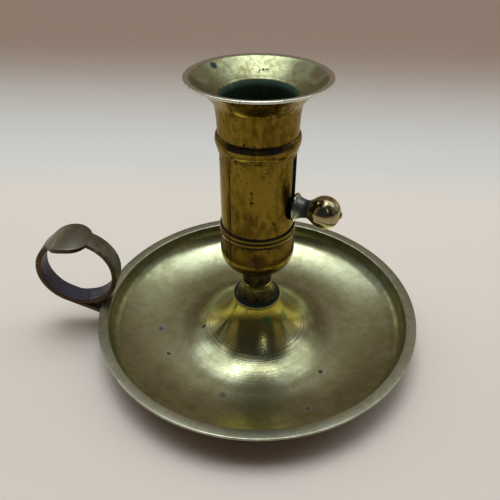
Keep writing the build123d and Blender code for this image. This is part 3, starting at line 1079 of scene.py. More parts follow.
SAUCER_FINISH = replace(
    RIM_FINISH,
    name="saucer brass, pale and stained",
    bright=(0.245, 0.245, 0.118),
    dull=(0.135, 0.113, 0.045),
    pit=(0.06, 0.06, 0.05),
    bright_roughness=0.34,
    dull_roughness=0.42,
    tarnish=0.45,
    cloud_scale=90.0,
    pit_scale=700.0,
    pit_crowding=0.3,
    stains_and_reflections=(
        StainOrReflection((-14.65, 11.8, 101.2), 1.7, BLUE_BLACK),
        StainOrReflection((0.6, 15.6, 99.0), 0.6),
        StainOrReflection((1.8, 15.7, 99.0), 0.5),
        StainOrReflection((-0.5, 15.4, 98.9), 0.4),
        StainOrReflection((12.2, 12.9, 100.5), 5.0, TEA_BROWN, 0.5),
        StainOrReflection((18.6, 7.0, 101.5), 6.5, TEA_BROWN, 0.85),
        StainOrReflection((-18.5, 3.0, 101.5), 4.5, TEA_BROWN, 0.6),
    ),
)
BORE_FINISH = replace(
    RIM_FINISH,
    name="bore brass, green-black",
    bright=(0.18, 0.22, 0.1),
    dull=(0.06, 0.095, 0.06),
    bright_roughness=0.45,
    dull_roughness=0.6,
    tarnish=0.6,
)
LOOP_FINISH = BrassFinish(
    name="loop brass, dark patina",
    bright=(0.255, 0.23, 0.146),
    dull=(0.1, 0.09, 0.068),
    pit=(0.04, 0.035, 0.03),
    dirt_and_shade=(0.05, 0.04, 0.035),
    verdigris=(0.03, 0.05, 0.05),
    bright_roughness=0.26,
    dull_roughness=0.42,
    tarnish=0.62,
    cloud_scale=75.0,
    pit_scale=800.0,
    marks_per_metre=1200.0,
    marks_depth=0.02,
)
LOOP_INSIDE_FINISH = replace(
    LOOP_FINISH,
    name="loop brass, bluish inside",
    bright=(0.26, 0.222, 0.205),
    dull=(0.075, 0.069, 0.083),
    bright_roughness=0.35,
    dull_roughness=0.5,
    pit_crowding=0.7,
)
LOOP_EDGE_FINISH = replace(
    LOOP_FINISH,
    name="loop brass, brown edge",
    bright=(0.18, 0.115, 0.05),
    dull=(0.07, 0.043, 0.022),
)
KNOB_FINISH = BrassFinish(
    name="knob brass, polished by the thumb",
    bright=(0.36, 0.312, 0.165),
    dull=(0.17, 0.12, 0.04),
    pit=(0.05, 0.03, 0.015),
    dirt_and_shade=(0.03, 0.025, 0.015),
    verdigris=(0.02, 0.06, 0.06),
    bright_roughness=0.16,
    dull_roughness=0.22,
    tarnish=0.42,
    cloud_scale=120.0,
    pit_scale=1100.0,
    pit_crowding=0.15,
    marks_depth=0.012,
    edge_tint=(1.0, 0.9, 0.7),
)
COLLAR_FINISH = BrassFinish(
    name="collar brass, grey-green",
    bright=(0.34, 0.33, 0.22),
    dull=(0.12, 0.135, 0.115),
    pit=(0.02, 0.05, 0.05),
    dirt_and_shade=(0.02, 0.03, 0.03),
    verdigris=(0.02, 0.09, 0.09),
    bright_roughness=0.2,
    dull_roughness=0.4,
    tarnish=0.5,
    cloud_scale=150.0,
    pit_scale=1000.0,
    marks_depth=0.012,
)
HIDDEN_FINISH = BrassFinish(
    name="hidden brass, oxidised",
    bright=(0.4, 0.32, 0.15),
    dull=(0.14, 0.15, 0.1),
    pit=(0.03, 0.05, 0.04),
    dirt_and_shade=(0.03, 0.03, 0.02),
    verdigris=(0.02, 0.07, 0.06),
    bright_roughness=0.35,
    dull_roughness=0.55,
    tarnish=0.6,
    cloud_scale=90.0,
    pit_scale=800.0,
    marks_depth=0.015,
)


def install(
    piece: bpy.types.Object,
    body: Body,
    slot: Slot,
    finishes: Sequence[BrassFinish],
    effects: Effects,
    *nodes: str,
) -> None:
    """Dress a new piece and join it to the frame.

    Args:
        piece: the piece.
        body: the body that it rides on.
        slot: the record's slot for its finish; not used.
        finishes: the finishes of its zones, in order.
        effects: the shared node groups.
        nodes: names of the frame's nodes that it stands for.
    """
    zones = [face.material_index for face in piece.data.polygons]
    piece.data.materials.clear()
    for finish in finishes:
        piece.data.materials.append(finish.material(effects))
    piece.data.polygons.foreach_set("material_index", zones)
    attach(piece, body.value)
    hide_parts(*nodes)
    LOG.info("%s rides on %s and stands for %s", piece.name, body.value, ", ".join(nodes))


@dataclass
class DripPan:
    """Spun pan: flat lip, dished floor and the trumpet cone that carries the stem."""

    radius: float = 60.0
    height: float = 13.8
    lip_width: float = 3.9
    lip_thickness: float = 1.3
    lip_round: float = 0.45
    lip_slope: float = 0.3
    sheet: float = 1.4
    wall_round: float = 7.5
    wall_straight: float = 0.4
    foot_outer: float = 34.5
    foot_inner: float = 31.5
    cone_top_radius: float = 9.0
    cone_above_lip: float = 5.7
    cone_plate: float = 2.0
    corner_round: float = 0.3
    hole: float = 4.1
    polish_fade: float = 11.0
    cone_steps: int = 40
    dish_steps: int = 24
    wall_steps: int = 16
    segments: int = 288
    handwork: Handwork = Handwork(depth=0.16, size=22.0, seed=3.0)
    finishes: tuple[BrassFinish, ...] = (PAN_FINISH, LIP_FINISH, UNDERSIDE_FINISH)

    @property
    def cone_top(self) -> float:
        """Height of the plate that the stem stands on."""
        return self.height + self.cone_above_lip

    def _face(self, offset: float, top: float) -> list[Knot]:
        """Knots of one face of the sheet, from the cone's top out to the wall's top.

        Args:
            offset: depth of the face below the upper one.
            top: height where the face ends at the cone.

        Returns:
            The knots.
        """
        wall_x = self.radius - self.lip_width - self.wall_round
        wall_z = self.height - self.lip_thickness - self.wall_straight
        run = wall_x - self.foot_outer
        rise = wall_z - self.sheet
        dish = (run**2 + rise**2 - self.wall_round**2) / (2 * (rise - self.wall_round))
        dish_centre = (self.foot_outer, self.sheet + dish)
        cone_run = self.foot_inner - self.cone_top_radius
        cone_rise = self.cone_top - self.sheet
        cone = (cone_run**2 + cone_rise**2) / (2 * cone_rise)
        cone_centre = (self.foot_inner, self.sheet + cone)
        blend = math.degrees(math.atan2(wall_z - dish_centre[1], wall_x - dish_centre[0]))
        cone_end = -180 + math.degrees(math.asin((cone_centre[1] - top) / (cone + offset)))
        knots = [
            replace(knot, polish=min(1.0, (self.foot_inner - knot.radius) / self.polish_fade))
            for knot in arc(cone_centre, cone + offset, cone_end, -90, self.cone_steps)
        ]
        knots += arc(dish_centre, dish + offset, -90, blend, self.dish_steps)
        wall = (wall_x, wall_z)
        knots += arc(wall, self.wall_round + offset, blend, 0, self.wall_steps, grime_and_shade=(0.0, 0.15))
        return knots

    def profile(self) -> list[Knot]:
        """Closed section of the sheet, from the stem's seat round the lip and back underneath.

        Returns:
            The knots, in the zones pan, lip and underside.
        """
        lip_inner = self.radius - self.lip_width
        lip_under = self.height - self.lip_thickness
        plate_under = self.cone_top - self.cone_plate
        upper = self._face(0.0, self.cone_top)
        upper[0] = replace(upper[0], ease=self.corner_round, grime_and_shade=1.0)
        upper[1] = replace(upper[1], grime_and_shade=0.6)
        lip = [
            Knot(lip_inner, self.height - self.lip_slope, self.lip_round, grime_and_shade=0.1, wear=0.3, zone=1),
            Knot(self.radius, self.height, self.lip_round, wear=0.3, zone=1),
            Knot(self.radius, lip_under, self.lip_round, wear=0.4, zone=2),
            Knot(lip_inner + self.sheet, lip_under, self.corner_round, grime_and_shade=0.3, zone=2),
        ]
        under = zoned(list(reversed(self._face(self.sheet, plate_under))), 2)
        hole = [
            Knot(self.hole, plate_under, grime_and_shade=0.6, zone=2),
            Knot(self.hole, self.cone_top, grime_and_shade=1.0),
        ]
        return upper + lip + under + hole

    def build(self, effects: Effects) -> None:
        """Make the pan and join it to the frame.

        Args:
            effects: the shared node groups.
        """
        pan = turned("pan", self.profile(), self.segments, closed=True)
        self.handwork.work(pan)
        install(pan, Body.BASE, Slot.PAN, self.finishes, effects, "drip_pan")


@dataclass
class FingerLoop:
    """Bent strip: tail under the lip, ring for the finger and a leaf for the thumb.

    Attributes:
        leaf_near: half the leaf's width towards -Y.
        leaf_far: half the leaf's width towards +Y.
        leaf_fullness: power that fills out the leaf's sides.
        leaf_bluntness: power that blunts the leaf's ends.
        foot_thin: share of the thickness that is left at the tail's end.
        scarf: how far round the ring turns, in degrees.
        scarf_share: share of the ring over which its end is thinned.
        scarf_thin: share of the thickness that is left at the ring's end.
        edge_share: greatest share of the thickness that the rounding of an edge takes.
        rim_share: share of an outer edge's rounding that is rubbed bright.
    """

    ring_x: float = -67.2
    ring_z: float = 27.9
    inner_radius: float = 13.2
    thickness: float = 2.0
    width: float = 7.5
    leaf_near: float = 9.1
    leaf_far: float = 7.5
    leaf_angle: float = 92.0
    leaf_towards_pan: float = 27.0
    leaf_away: float = 33.0
    leaf_fullness: float = 2.3
    leaf_bluntness: float = 0.75
    tail_slope: float = 26.2
    tail_steps: int = 24
    wall_centre: Pair = (48.6, 12.1)
    wall_radius: float = 8.9
    foot_sweep: float = 55.0
    foot_meets: float = 30.0
    foot_thin: float = 0.35
    foot_steps: int = 16
    scarf: float = 344.0
    scarf_share: float = 0.05
    scarf_thin: float = 0.25
    edge_round: float = 0.35
    edge_share: float = 0.45
    rim_share: float = 0.9
    rim_wear: float = 0.5
    face_wear: float = 0.1
    inner_grime: float = 0.3
    outer_grime: float = 0.12
    corner_steps: int = 4
    stations: int = 240
    handwork: Handwork = Handwork(depth=0.14, size=7.0, seed=11.0)
    finishes: tuple[BrassFinish, ...] = (LOOP_FINISH, LOOP_INSIDE_FINISH, LOOP_EDGE_FINISH)

    @property
    def face_zones(self) -> dict[int, int]:
        """Zone of finish of each stretch round the section, where it isn't the outer face's own.

        Returns:
            The zones by the number of the stretch.
        """
        turn = self.corner_steps + 1
        near_edge, inner_face, far_edge = 2 * turn - 1, 3 * turn - 1, 4 * turn - 1
        edges = [*range(near_edge, inner_face), *range(inner_face + 1, far_edge + 1)]
        return {inner_face: 1, **{stretch: 2 for stretch in edges}}

    def path(self) -> list[tuple[Vector, Vector, float, float]]:
        """Middle line of the strip.

        Returns:
            For each station its place and the outward direction across the strip, both in X and Z, its
            thickness share, and its angle about the ring in degrees, which is negative on the tail.
        """
        middle = self.inner_radius + self.thickness / 2
        slope = math.radians(self.tail_slope)
        centre = Vector((self.ring_x, self.ring_z))
        wall = Vector((-self.wall_centre[0], self.wall_centre[1]))
        seat = self.wall_radius + self.thickness / 2
        stations: list[tuple[Vector, Vector, float, float]] = []
        for step in range(self.foot_steps):
            share = step / (self.foot_steps - 1)
            angle = math.radians(self.foot_sweep + (self.foot_meets - self.foot_sweep) * share)
            out = Vector((-math.cos(angle), -math.sin(angle)))
            thick = self.foot_thin + (1 - self.foot_thin) * min(1.0, 2 * share)
            stations.append((wall + out * seat, out, thick, -1.0))
        start = math.radians(270.0 - self.tail_slope)
        leave = centre + middle * Vector((math.cos(start), math.sin(start)))
        first = stations[-1][0]
        down = Vector((-math.sin(slope), -math.cos(slope)))
        for step in range(1, self.tail_steps):
            stations.append((first.lerp(leave, step / self.tail_steps), down, 1.0, -1.0))
        for step in range(self.stations + 1):
            share = step / self.stations
            angle = start - math.radians(self.scarf) * share
            out = Vector((math.cos(angle), math.sin(angle)))
            in_scarf = max(0.0, (share - (1 - self.scarf_share)) / self.scarf_share)
            thick = 1.0 - (1 - self.scarf_thin) * in_scarf
            inset = self.thickness * (1 - thick) / 4
            stations.append((centre + out * (middle - inset), out, thick, math.degrees(angle) % 360.0))
        return stations

    def half_width(self, angle: float, widest: float) -> float:
        """Half the strip's width at an angle about the ring.

        Args:
            angle: angle in degrees, anticlockwise from +X.
            widest: half the width in the middle of the leaf.

        Returns:
            The half width.
        """
        plain = self.width / 2
        reach = self.leaf_away if angle > self.leaf_angle else self.leaf_towards_pan
        share = min(1.0, abs(angle - self.leaf_angle) / reach)
        return plain + (widest - plain) * (1.0 - share**self.leaf_fullness) ** self.leaf_bluntness

    def section(self, near: float, far: float, thick: float) -> list[Pair]:
        """Rounded section of the strip: across its width and its thickness.

        Args:
            near: half width towards -Y.
            far: half width towards +Y.
            thick: thickness.

        Returns:
            Points round the section.
        """
        ease = min(self.edge_round, thick * self.edge_share)
        points = []
        for corner, (u, v) in enumerate(((far, 1), (-near, 1), (-near, -1), (far, -1))):
            for step in range(self.corner_steps + 1):
                angle = math.radians(90 * (corner + step / self.corner_steps))
                across = u - math.copysign(ease, u) + ease * math.cos(angle)
                points.append((across, v * (thick / 2 - ease) + ease * math.sin(angle)))
        return points

    def build(self, effects: Effects) -> None:
        """Make the loop and join it to the frame.

        Args:
            effects: the shared node groups.
        """
        vertices: list[Vector] = []
        layers: dict[str, list[float]] = {"wear": [], "grime_and_shade": []}
        path = self.path()
        for place, out, share, angle in path:
            near, far = self.half_width(angle, self.leaf_near), self.half_width(angle, self.leaf_far)
            thick = self.thickness * share
            rim_depth = thick / 2 - self.edge_round * self.rim_share
            for across, deep in self.section(near, far, thick):
                vertices.append(Vector((place.x + out.x * deep, across, place.y + out.y * deep)) * MM)
                rubbed = deep > 0 and deep > rim_depth
                layers["wear"].append(self.rim_wear if rubbed else self.face_wear)
                layers["grime_and_shade"].append(self.inner_grime if deep < 0 else self.outer_grime)
        size = len(vertices) // len(path)
        faces: list[tuple[int, ...]] = []
        zones: list[int] = []
        face_zones = self.face_zones
        for ring in range(len(path) - 1):
            for step in range(size):
                a, b = ring * size + step, ring * size + (step + 1) % size
                faces.append((a, b, b + size, a + size))
                zones.append(face_zones.get(step, 0))
        faces.append(tuple(reversed(range(size))))
        faces.append(tuple(range(len(vertices) - size, len(vertices))))
        zones += [0, 0]
        loop = new_object("loop", vertices, faces)
        paint(loop, layers)
        loop.data.polygons.foreach_set("material_index", zones)
        face_outward(loop)
        self.handwork.work(loop)
        install(loop, Body.BASE, Slot.LOOP, self.finishes, effects, "finger_loop")


@dataclass
class Stem:
    """Turned stem: bell foot, neck, hollow bowl and the double bead under the barrel.

    Attributes:
        bead_low_half: distance from the lower bead's crest to each of its shoulders.
        bead_low_fall: how far its lower and upper shoulder lie in from the crest.
        bead_high_half: the same distance on the upper bead.
        bead_high_fall: the same two depths on the upper bead.
    """

    foot: float = 19.5
    foot_radius: float = 8.7
    foot_edge: float = 0.6
    foot_edge_round: float = 0.2
    ring_height: float = 26.1
    ring_radius: float = 5.3
    ring_round: float = 0.5
    neck_height: float = 28.3
    neck_radius: float = 5.2
    bowl_neck_radius: float = 5.6
    bowl_height: float = 41.4
    bowl_radius: float = 13.0
    bowl_depth: float = 9.4
    bowl_top: float = 48.5
    bowl_steps: int = 28
    bead_bottom: float = 49.0
    bead_split: float = 51.0
    bead_top: float = 52.6
    bead_radius: float = 13.0
    bead_groove: float = 12.65
    bead_low_half: float = 0.6
    bead_low_fall: Pair = (0.15, 0.1)
    bead_high_half: float = 0.5
    bead_high_fall: Pair = (0.1, 0.12)
    groove_round: float = 0.12
    root_radius: float = 12.43
    bead_lip: float = 12.68
    bead_lip_round: float = 0.1
    barrel_radius: float = 12.33
    barrel_bore: float = 11.45
    barrel_bottom: float = 49.3
    hollow_floor: float = 36.9
    tenon_radius: float = 4.0
    tenon_end: float = 10.0
    tenon_chamfer: float = 0.6
    segments: int = 192
    handwork: Handwork = Handwork(depth=0.04, size=5.0, seed=5.0)
    finishes: tuple[BrassFinish, ...] = (BOWL_FINISH, FOOT_FINISH)

    def _foot(self) -> list[Knot]:
        """Outline from the tenon's end up over the bell foot, its ring and the neck.

        Returns:
            The knots.
        """
        knots = [
            Knot(0.0, self.tenon_end, grime_and_shade=0.4),
            Knot(self.tenon_radius - self.tenon_chamfer, self.tenon_end, grime_and_shade=0.4),
            Knot(self.tenon_radius, self.tenon_end + self.tenon_chamfer, grime_and_shade=0.4),
            Knot(self.tenon_radius, self.foot, grime_and_shade=1.0),
            Knot(self.foot_radius, self.foot, grime_and_shade=1.0),
            Knot(self.foot_radius, self.foot + self.foot_edge, ease=self.foot_edge_round, grime_and_shade=0.95),
        ]
        edge = (self.foot_radius, self.foot + self.foot_edge)
        under_ring = (self.ring_radius, self.ring_height - self.ring_round)
        knots += flow(edge, (-1.0, 0.5), under_ring, (-0.25, 1.0), 14, grime_and_shade=(0.76, 0.36))
        middle = (self.ring_radius, self.ring_height)
        ring = arc(middle, self.ring_round, -80.0, 80.0, 6, grime_and_shade=(0.05, 0.2))
        knots += [replace(knot, wear=0.9) for knot in ring]
        above_ring = (self.ring_radius, self.ring_height + self.ring_round)
        waist = (self.neck_radius, self.neck_height)
        lean = math.asin(self.bowl_neck_radius / self.bowl_radius)
        neck_top = (self.bowl_neck_radius, self.bowl_height - self.bowl_depth * math.cos(lean))
        # Painted shade: the neck is darkened to stand for its shade and the dark pan that it mirrors.
        knots += flow(above_ring, (-0.5, 1.0), waist, (0.0, 1.0), 10, grime_and_shade=(0.6, 0.6))
        knots += flow(waist, (0.0, 1.0), neck_top, (0.75, 1.0), 12, grime_and_shade=(0.6, 0.62))
        return knots

    def _bowl(self) -> list[Knot]:
        """Outline of the bowl, from the neck's top to the root of the beads.

        Returns:
            The knots.
        """
        lean = math.asin(self.bowl_neck_radius / self.bowl_radius)
        knots = []
        for step in range(1, self.bowl_steps + 1):
            share = step / self.bowl_steps
            angle = lean + (math.pi / 2 - lean) * share
            height = self.bowl_height - self.bowl_depth * math.cos(angle)
            # Darker towards the neck.
            knots.append(Knot(self.bowl_radius * math.sin(angle), height, grime_and_shade=0.5 * (1 - share)))
        side = (self.bowl_radius, self.bowl_height)
        root = (self.root_radius, self.bowl_top)
        knots += flow(side, (0.0, 1.0), root, (-0.1, 1.0), 8, grime_and_shade=(0.0, 0.4))
        knots.append(Knot(self.root_radius, self.bead_bottom, ease=self.groove_round, grime_and_shade=0.95))
        return knots

    def _bead(self, middle: float, half: float, fall: Pair) -> list[Knot]:
        """Outline of one bead.

        Args:
            middle: height of its crest.
            half: distance from the crest to each shoulder.
            fall: how far the lower and the upper shoulder lie in from the crest.

        Returns:
            The knots.
        """
        return [
            Knot(self.bead_radius - fall[0], middle - half, grime_and_shade=0.3, wear=0.5),
            Knot(self.bead_radius, middle, wear=0.9),
            Knot(self.bead_radius - fall[1], middle + half, grime_and_shade=0.3, wear=0.5),
        ]

    def _hollow(self) -> list[Knot]:
        """Seat of the barrel and the round hollow inside the bowl.

        Returns:
            The knots.
        """
        seat = [
            Knot(self.bead_lip, self.bead_top, ease=self.bead_lip_round, grime_and_shade=0.8),
            Knot(self.barrel_radius, self.bead_top, grime_and_shade=1.0),
            Knot(self.barrel_radius, self.barrel_bottom, grime_and_shade=1.0),
            Knot(self.barrel_bore, self.barrel_bottom, grime_and_shade=1.0),
            Knot(self.barrel_bore, self.bowl_height, grime_and_shade=1.0),
        ]
        rise = self.bowl_height - self.hollow_floor
        ball = (self.barrel_bore**2 + rise**2) / (2 * rise)
        centre = self.hollow_floor + ball
        edge = math.degrees(math.asin((self.bowl_height - centre) / ball))
        hollow = arc((0.0, centre), ball, edge, -90.0, 12, grime_and_shade=(1.0, 1.0))
        return seat + hollow[1:-1] + [Knot(0.0, self.hollow_floor, grime_and_shade=1.0)]

    def profile(self) -> list[Knot]:
        """Section of the stem, from the tenon's end up the outside and down into the hollow.

        Returns:
            The knots, in the zones bowl and foot.
        """
        low = (self.bead_bottom + self.bead_split) / 2
        high = (self.bead_split + self.bead_top) / 2
        knots = zoned(self._foot(), 1) + self._bowl()
        knots += self._bead(low, self.bead_low_half, self.bead_low_fall)
        knots.append(Knot(self.bead_groove, self.bead_split, ease=self.groove_round, grime_and_shade=0.9))
        knots += self._bead(high, self.bead_high_half, self.bead_high_fall)
        return knots + self._hollow()

    def build(self, effects: Effects) -> None:
        """Make the stem and join it to the frame.

        Args:
            effects: the shared node groups.
        """
        stem = turned("stem_turned", self.profile(), self.segments, closed=False)
        self.handwork.work(stem)
        install(stem, Body.BASE, Slot.SOCKET, self.finishes, effects, "stem")


@dataclass
class SocketBarrel:
    """Tube between the two beads, slotted for the stud.

    Attributes:
        dirt_and_shade: soiling at the two beads, and soiling with painted shadow at the slot, 0 to 1.
        slot_shade_fade: soiling and painted shadow lost for each millimetre away from the slot.
        end_dirt_fade: dirt lost for each millimetre away from a bead.
        sharp_angle: angle in degrees above which an edge is shaded sharp.
    """

    radius: float = 12.33
    bore: float = 11.45
    bottom: float = 49.3
    top: float = 85.1
    slot_width: float = 3.6
    slot_bottom: float = 58.8
    slot_top: float = 78.6
    slot_azimuth: float = -16.0
    bead_top: float = 52.6
    skirt_bottom: float = 80.1
    dirt_and_shade: float = 0.85
    slot_shade_fade: float = 0.8
    end_dirt_fade: float = 1.1
    wear: float = 0.15
    sharp_angle: float = 40.0
    columns: int = 176
    slot_columns: int = 24
    rows_below: int = 16
    rows_beside: int = 20
    rows_above: int = 12
    finishes: tuple[BrassFinish, ...] = (SOCKET_FINISH,)

    def _columns(self) -> list[float]:
        """Angles of the wall's columns from the slot's middle, those across the slot first.

        Returns:
            The angles in radians.
        """
        reach = math.asin(self.slot_width / 2 / self.radius)
        rest = 2 * math.pi - 2 * reach
        across = [-reach + 2 * reach * i / self.slot_columns for i in range(self.slot_columns + 1)]
        return across + [reach + rest * i / self.columns for i in range(1, self.columns)]

    def grid(self) -> tuple[list[Pair], list[tuple[int, ...]]]:
        """Unrolled wall: arc angle from the slot's middle and height, with the slot left open.

        Returns:
            The points and the faces between them.
        """
        half = self.slot_width / 2
        points: list[Pair] = []
        index: dict[tuple[int, int], int] = {}
        slot_end = self.rows_below + self.rows_beside
        total = slot_end + self.rows_above
        angles = self._columns()
        for column, angle in enumerate(angles):
            off = min(half, abs(self.radius * math.sin(angle)))
            bow = math.sqrt(max(0.0, half**2 - off**2)) if column <= self.slot_columns else 0.0
            low, high = self.slot_bottom + half - bow, self.slot_top - half + bow
            open_here = 0 < column < self.slot_columns
            for row in range(total + 1):
                if row <= self.rows_below:
                    height = self.bottom + (low - self.bottom) * row / self.rows_below
                elif row >= slot_end:
                    height = high + (self.top - high) * (row - slot_end) / self.rows_above
                elif open_here:
                    continue
                else:
                    height = low + (high - low) * (row - self.rows_below) / self.rows_beside
                index[column, row] = len(points)
                points.append((angle, height))
        faces = []
        for column in range(len(angles)):
            onward = (column + 1) % len(angles)
            for row in range(total):
                if column < self.slot_columns and self.rows_below <= row < slot_end:
                    continue
                corners = ((column, row), (onward, row), (onward, row + 1), (column, row + 1))
                faces.append(tuple(index[corner] for corner in corners))
        return points, faces

    def _grime_and_shade(self, angle: float, height: float) -> float:
        """Soiling by the two beads, and soiling with the collar's painted shadow round the slot.

        Args:
            angle: arc angle from the slot's middle.
            height: height above the table.

        Returns:
            The soiling and painted shadow, 0 to 1.
        """
        along = (angle + math.pi) % (2 * math.pi) - math.pi
        beside = max(abs(self.radius * along) - self.slot_width / 2, 0.0)
        beyond = max(self.slot_bottom - height, height - self.slot_top, 0.0)
        # Painted shadow: the darkening round the slot stands partly for the collar's shadow.
        by_slot = self.dirt_and_shade - self.slot_shade_fade * math.hypot(beside, beyond)
        ends = max(min(height - self.bead_top, self.skirt_bottom - height), 0.0)
        return max(0.0, by_slot, self.dirt_and_shade - self.end_dirt_fade * ends)

    def build(self, effects: Effects) -> None:
        """Make the barrel and join it to the frame.

        Args:
            effects: the shared node groups.
        """
        points, faces = self.grid()
        count = len(points)
        azimuth = math.radians(self.slot_azimuth)
        vertices = [
            spun(radius, angle + azimuth, height)
            for radius in (self.radius, self.bore)
            for angle, height in points
        ]
        shell = list(faces) + [tuple(i + count for i in reversed(face)) for face in faces]
        edges = dict.fromkeys(edge for face in faces for edge in zip(face, face[1:] + face[:1]))
        for a, b in edges:
            if (b, a) not in edges:
                shell.append((b, a, a + count, b + count))
        barrel = new_object("barrel", vertices, shell)
        grime_and_shade = [self._grime_and_shade(angle, height) for angle, height in points] + [1.0] * count
        paint(barrel, {"grime_and_shade": grime_and_shade, "wear": [self.wear] * len(vertices)})
        face_outward(barrel)
        barrel.data.set_sharp_from_angle(angle=math.radians(self.sharp_angle))
        install(barrel, Body.BASE, Slot.SOCKET, self.finishes, effects, "socket_barrel")


@dataclass
class Nozzle:
    """Top of the socket: lapped skirt, bead, neck and the wide saucer that catches wax.

    Attributes:
        rim_dip: how far the far side of the rim is bent down.
        side_shade_share: share of the painted shade on the bead's upper half that is left at the sides
            and back.
        front_shade_growth: how fast that share grows towards the front.
    """

    bottom: float = 80.1
    barrel_top: float = 85.1
    barrel_radius: float = 12.33
    skirt_radius: float = 12.8
    skirt_top: float = 80.9
    skirt_round: float = 0.15
    bead_radius: float = 13.55
    bead_height: float = 83.5
    bead_top: float = 85.5
    neck_radius: float = 12.72
    throat_radius: float = 13.3
    throat_height: float = 94.0
    flare_radius: float = 16.2
    flare_height: float = 98.6
    rim_radius: float = 22.0
    rim_height: float = 103.5
    rim_thickness: float = 0.9
    rim_inset: float = 0.3
    rim_round_inset: float = 0.05
    lip_width: float = 1.9
    lip_fall: float = 0.25
    lip_round: float = 0.3
    mouth_radius: float = 12.3
    mouth_height: float = 97.5
    bore_radius: float = 11.2
    bore_top: float = 95.1
    bore_steps: int = 7
    saucer_height: float = 99.78
    rim_dip: float = 1.25
    side_shade_share: float = 0.35
    front_shade_growth: float = 1.6
    segments: int = 224
    handwork: Handwork = Handwork(depth=0.05, size=6.0, seed=8.0)
    finishes: tuple[BrassFinish, ...] = (NECK_FINISH, SAUCER_FINISH, BORE_FINISH, RIM_FINISH)

    def _outside(self) -> list[Knot]:
        """Outline from the seat on the barrel up the skirt, bead, neck and flare to the rim.

        Returns:
            The knots.
        """
        skirt = (self.skirt_radius, self.skirt_top)
        swell = (self.bead_radius, self.bead_height)
        bead_end = (self.neck_radius, self.bead_top)
        throat = (self.throat_radius, self.throat_height)
        flare = (self.flare_radius, self.flare_height)
        rim_under = (self.rim_radius - self.rim_inset, self.rim_height - self.rim_thickness)
        knots = [
            Knot(self.bore_radius, self.barrel_top, grime_and_shade=1.0),
            Knot(self.barrel_radius, self.barrel_top, grime_and_shade=1.0),
            Knot(self.barrel_radius, self.bottom, grime_and_shade=1.0),
            Knot(self.skirt_radius, self.bottom, ease=self.skirt_round, grime_and_shade=0.45, wear=0.5),
            Knot(*skirt, grime_and_shade=0.35),
        ]
        knots += flow(skirt, (0.6, 1.0), swell, (0.0, 1.0), 8, grime_and_shade=(0.3, 0.1))
        # Painted shade: the heavy band on the bead's upper half stands for the dark room mirrored there.
        knots += flow(swell, (0.0, 1.0), bead_end, (-1.0, 0.25), 8, grime_and_shade=(0.7, 0.66))
        knots += flow(bead_end, (0.02, 1.0), throat, (0.15, 1.0), 18, grime_and_shade=(0.35, 0.0))
        knots += flow(throat, (0.15, 1.0), flare, (0.85, 1.0), 10)
        knots += flow(flare, (0.85, 1.0), rim_under, (1.0, 0.3), 10)
        return knots

    def profile(self) -> list[Knot]:
        """Closed section, from the seat on the barrel up the outside, over the rim and down the bore.

        Returns:
            The knots, in the zones neck, saucer, bore and rim.
        """
        rim_edge = self.rim_radius - self.rim_inset
        half = self.rim_thickness / 2
        edge = arc((rim_edge - self.rim_round_inset, self.rim_height - half), half, -80.0, 80.0, 8)
        rim = [replace(k, radius=min(k.radius, self.rim_radius), wear=0.9) for k in edge]
        rim.append(Knot(rim_edge, self.rim_height, wear=0.5))
        lip = (self.rim_radius - self.lip_width, self.rim_height - self.lip_fall)
        halfway = ((lip[0] + self.mouth_radius) / 2, self.saucer_height)
        mouth = (self.mouth_radius, self.mouth_height)
        saucer = [Knot(*lip, ease=self.lip_round)]
        saucer += flow(lip, (-1.0, -0.85), halfway, (-1.0, -0.7), 10)
        saucer += flow(halfway, (-1.0, -0.7), mouth, (-1.0, -0.45), 10)
        bore = flow(mouth, (-0.7, -1.0), (self.bore_radius, self.bore_top), (0.0, -1.0), 6)
        depth = self.barrel_top - self.bore_top
        for step in range(1, self.bore_steps):
            bore.append(Knot(self.bore_radius, self.bore_top + depth * step / self.bore_steps))
        return self._outside() + zoned(rim, 3) + zoned(saucer, 1) + zoned(bore, 2)

    def build(self, effects: Effects) -> None:
        """Make the nozzle, bent down at the far side of its rim, and join it to the frame.

        Args:
            effects: the shared node groups.
        """
        nozzle = turned("nozzle_turned", self.profile(), self.segments, closed=True)
        for vertex in nozzle.data.vertices:
            share = (vertex.co.z / MM - self.mouth_height) / (self.rim_height - self.mouth_height)
            back = (vertex.co.y / MM + self.rim_radius) / (2 * self.rim_radius)
            vertex.co.z -= self.rim_dip * back * max(0.0, share) * MM
        self._shade_bead_front(nozzle)
        self.handwork.work(nozzle)
        install(nozzle, Body.BASE, Slot.SOCKET, self.finishes, effects, "nozzle")

    def _shade_bead_front(self, nozzle: bpy.types.Object) -> None:
        """Keep the painted shade on the bead's upper half mostly at the front, where it stands for the
        dark room that the bead mirrors.

        Args:
            nozzle: the piece.
        """
        grime_and_shade = nozzle.data.attributes["grime_and_shade"].data
        for vertex, dirt_and_shade in zip(nozzle.data.vertices, grime_and_shade):
            if self.bead_height < vertex.co.z / MM < self.bead_top:
                front = -vertex.co.y / math.hypot(vertex.co.x, vertex.co.y)
                left = self.front_shade_growth * front - self.side_shade_share
                dirt_and_shade.value *= min(1.0, max(self.side_shade_share, left))


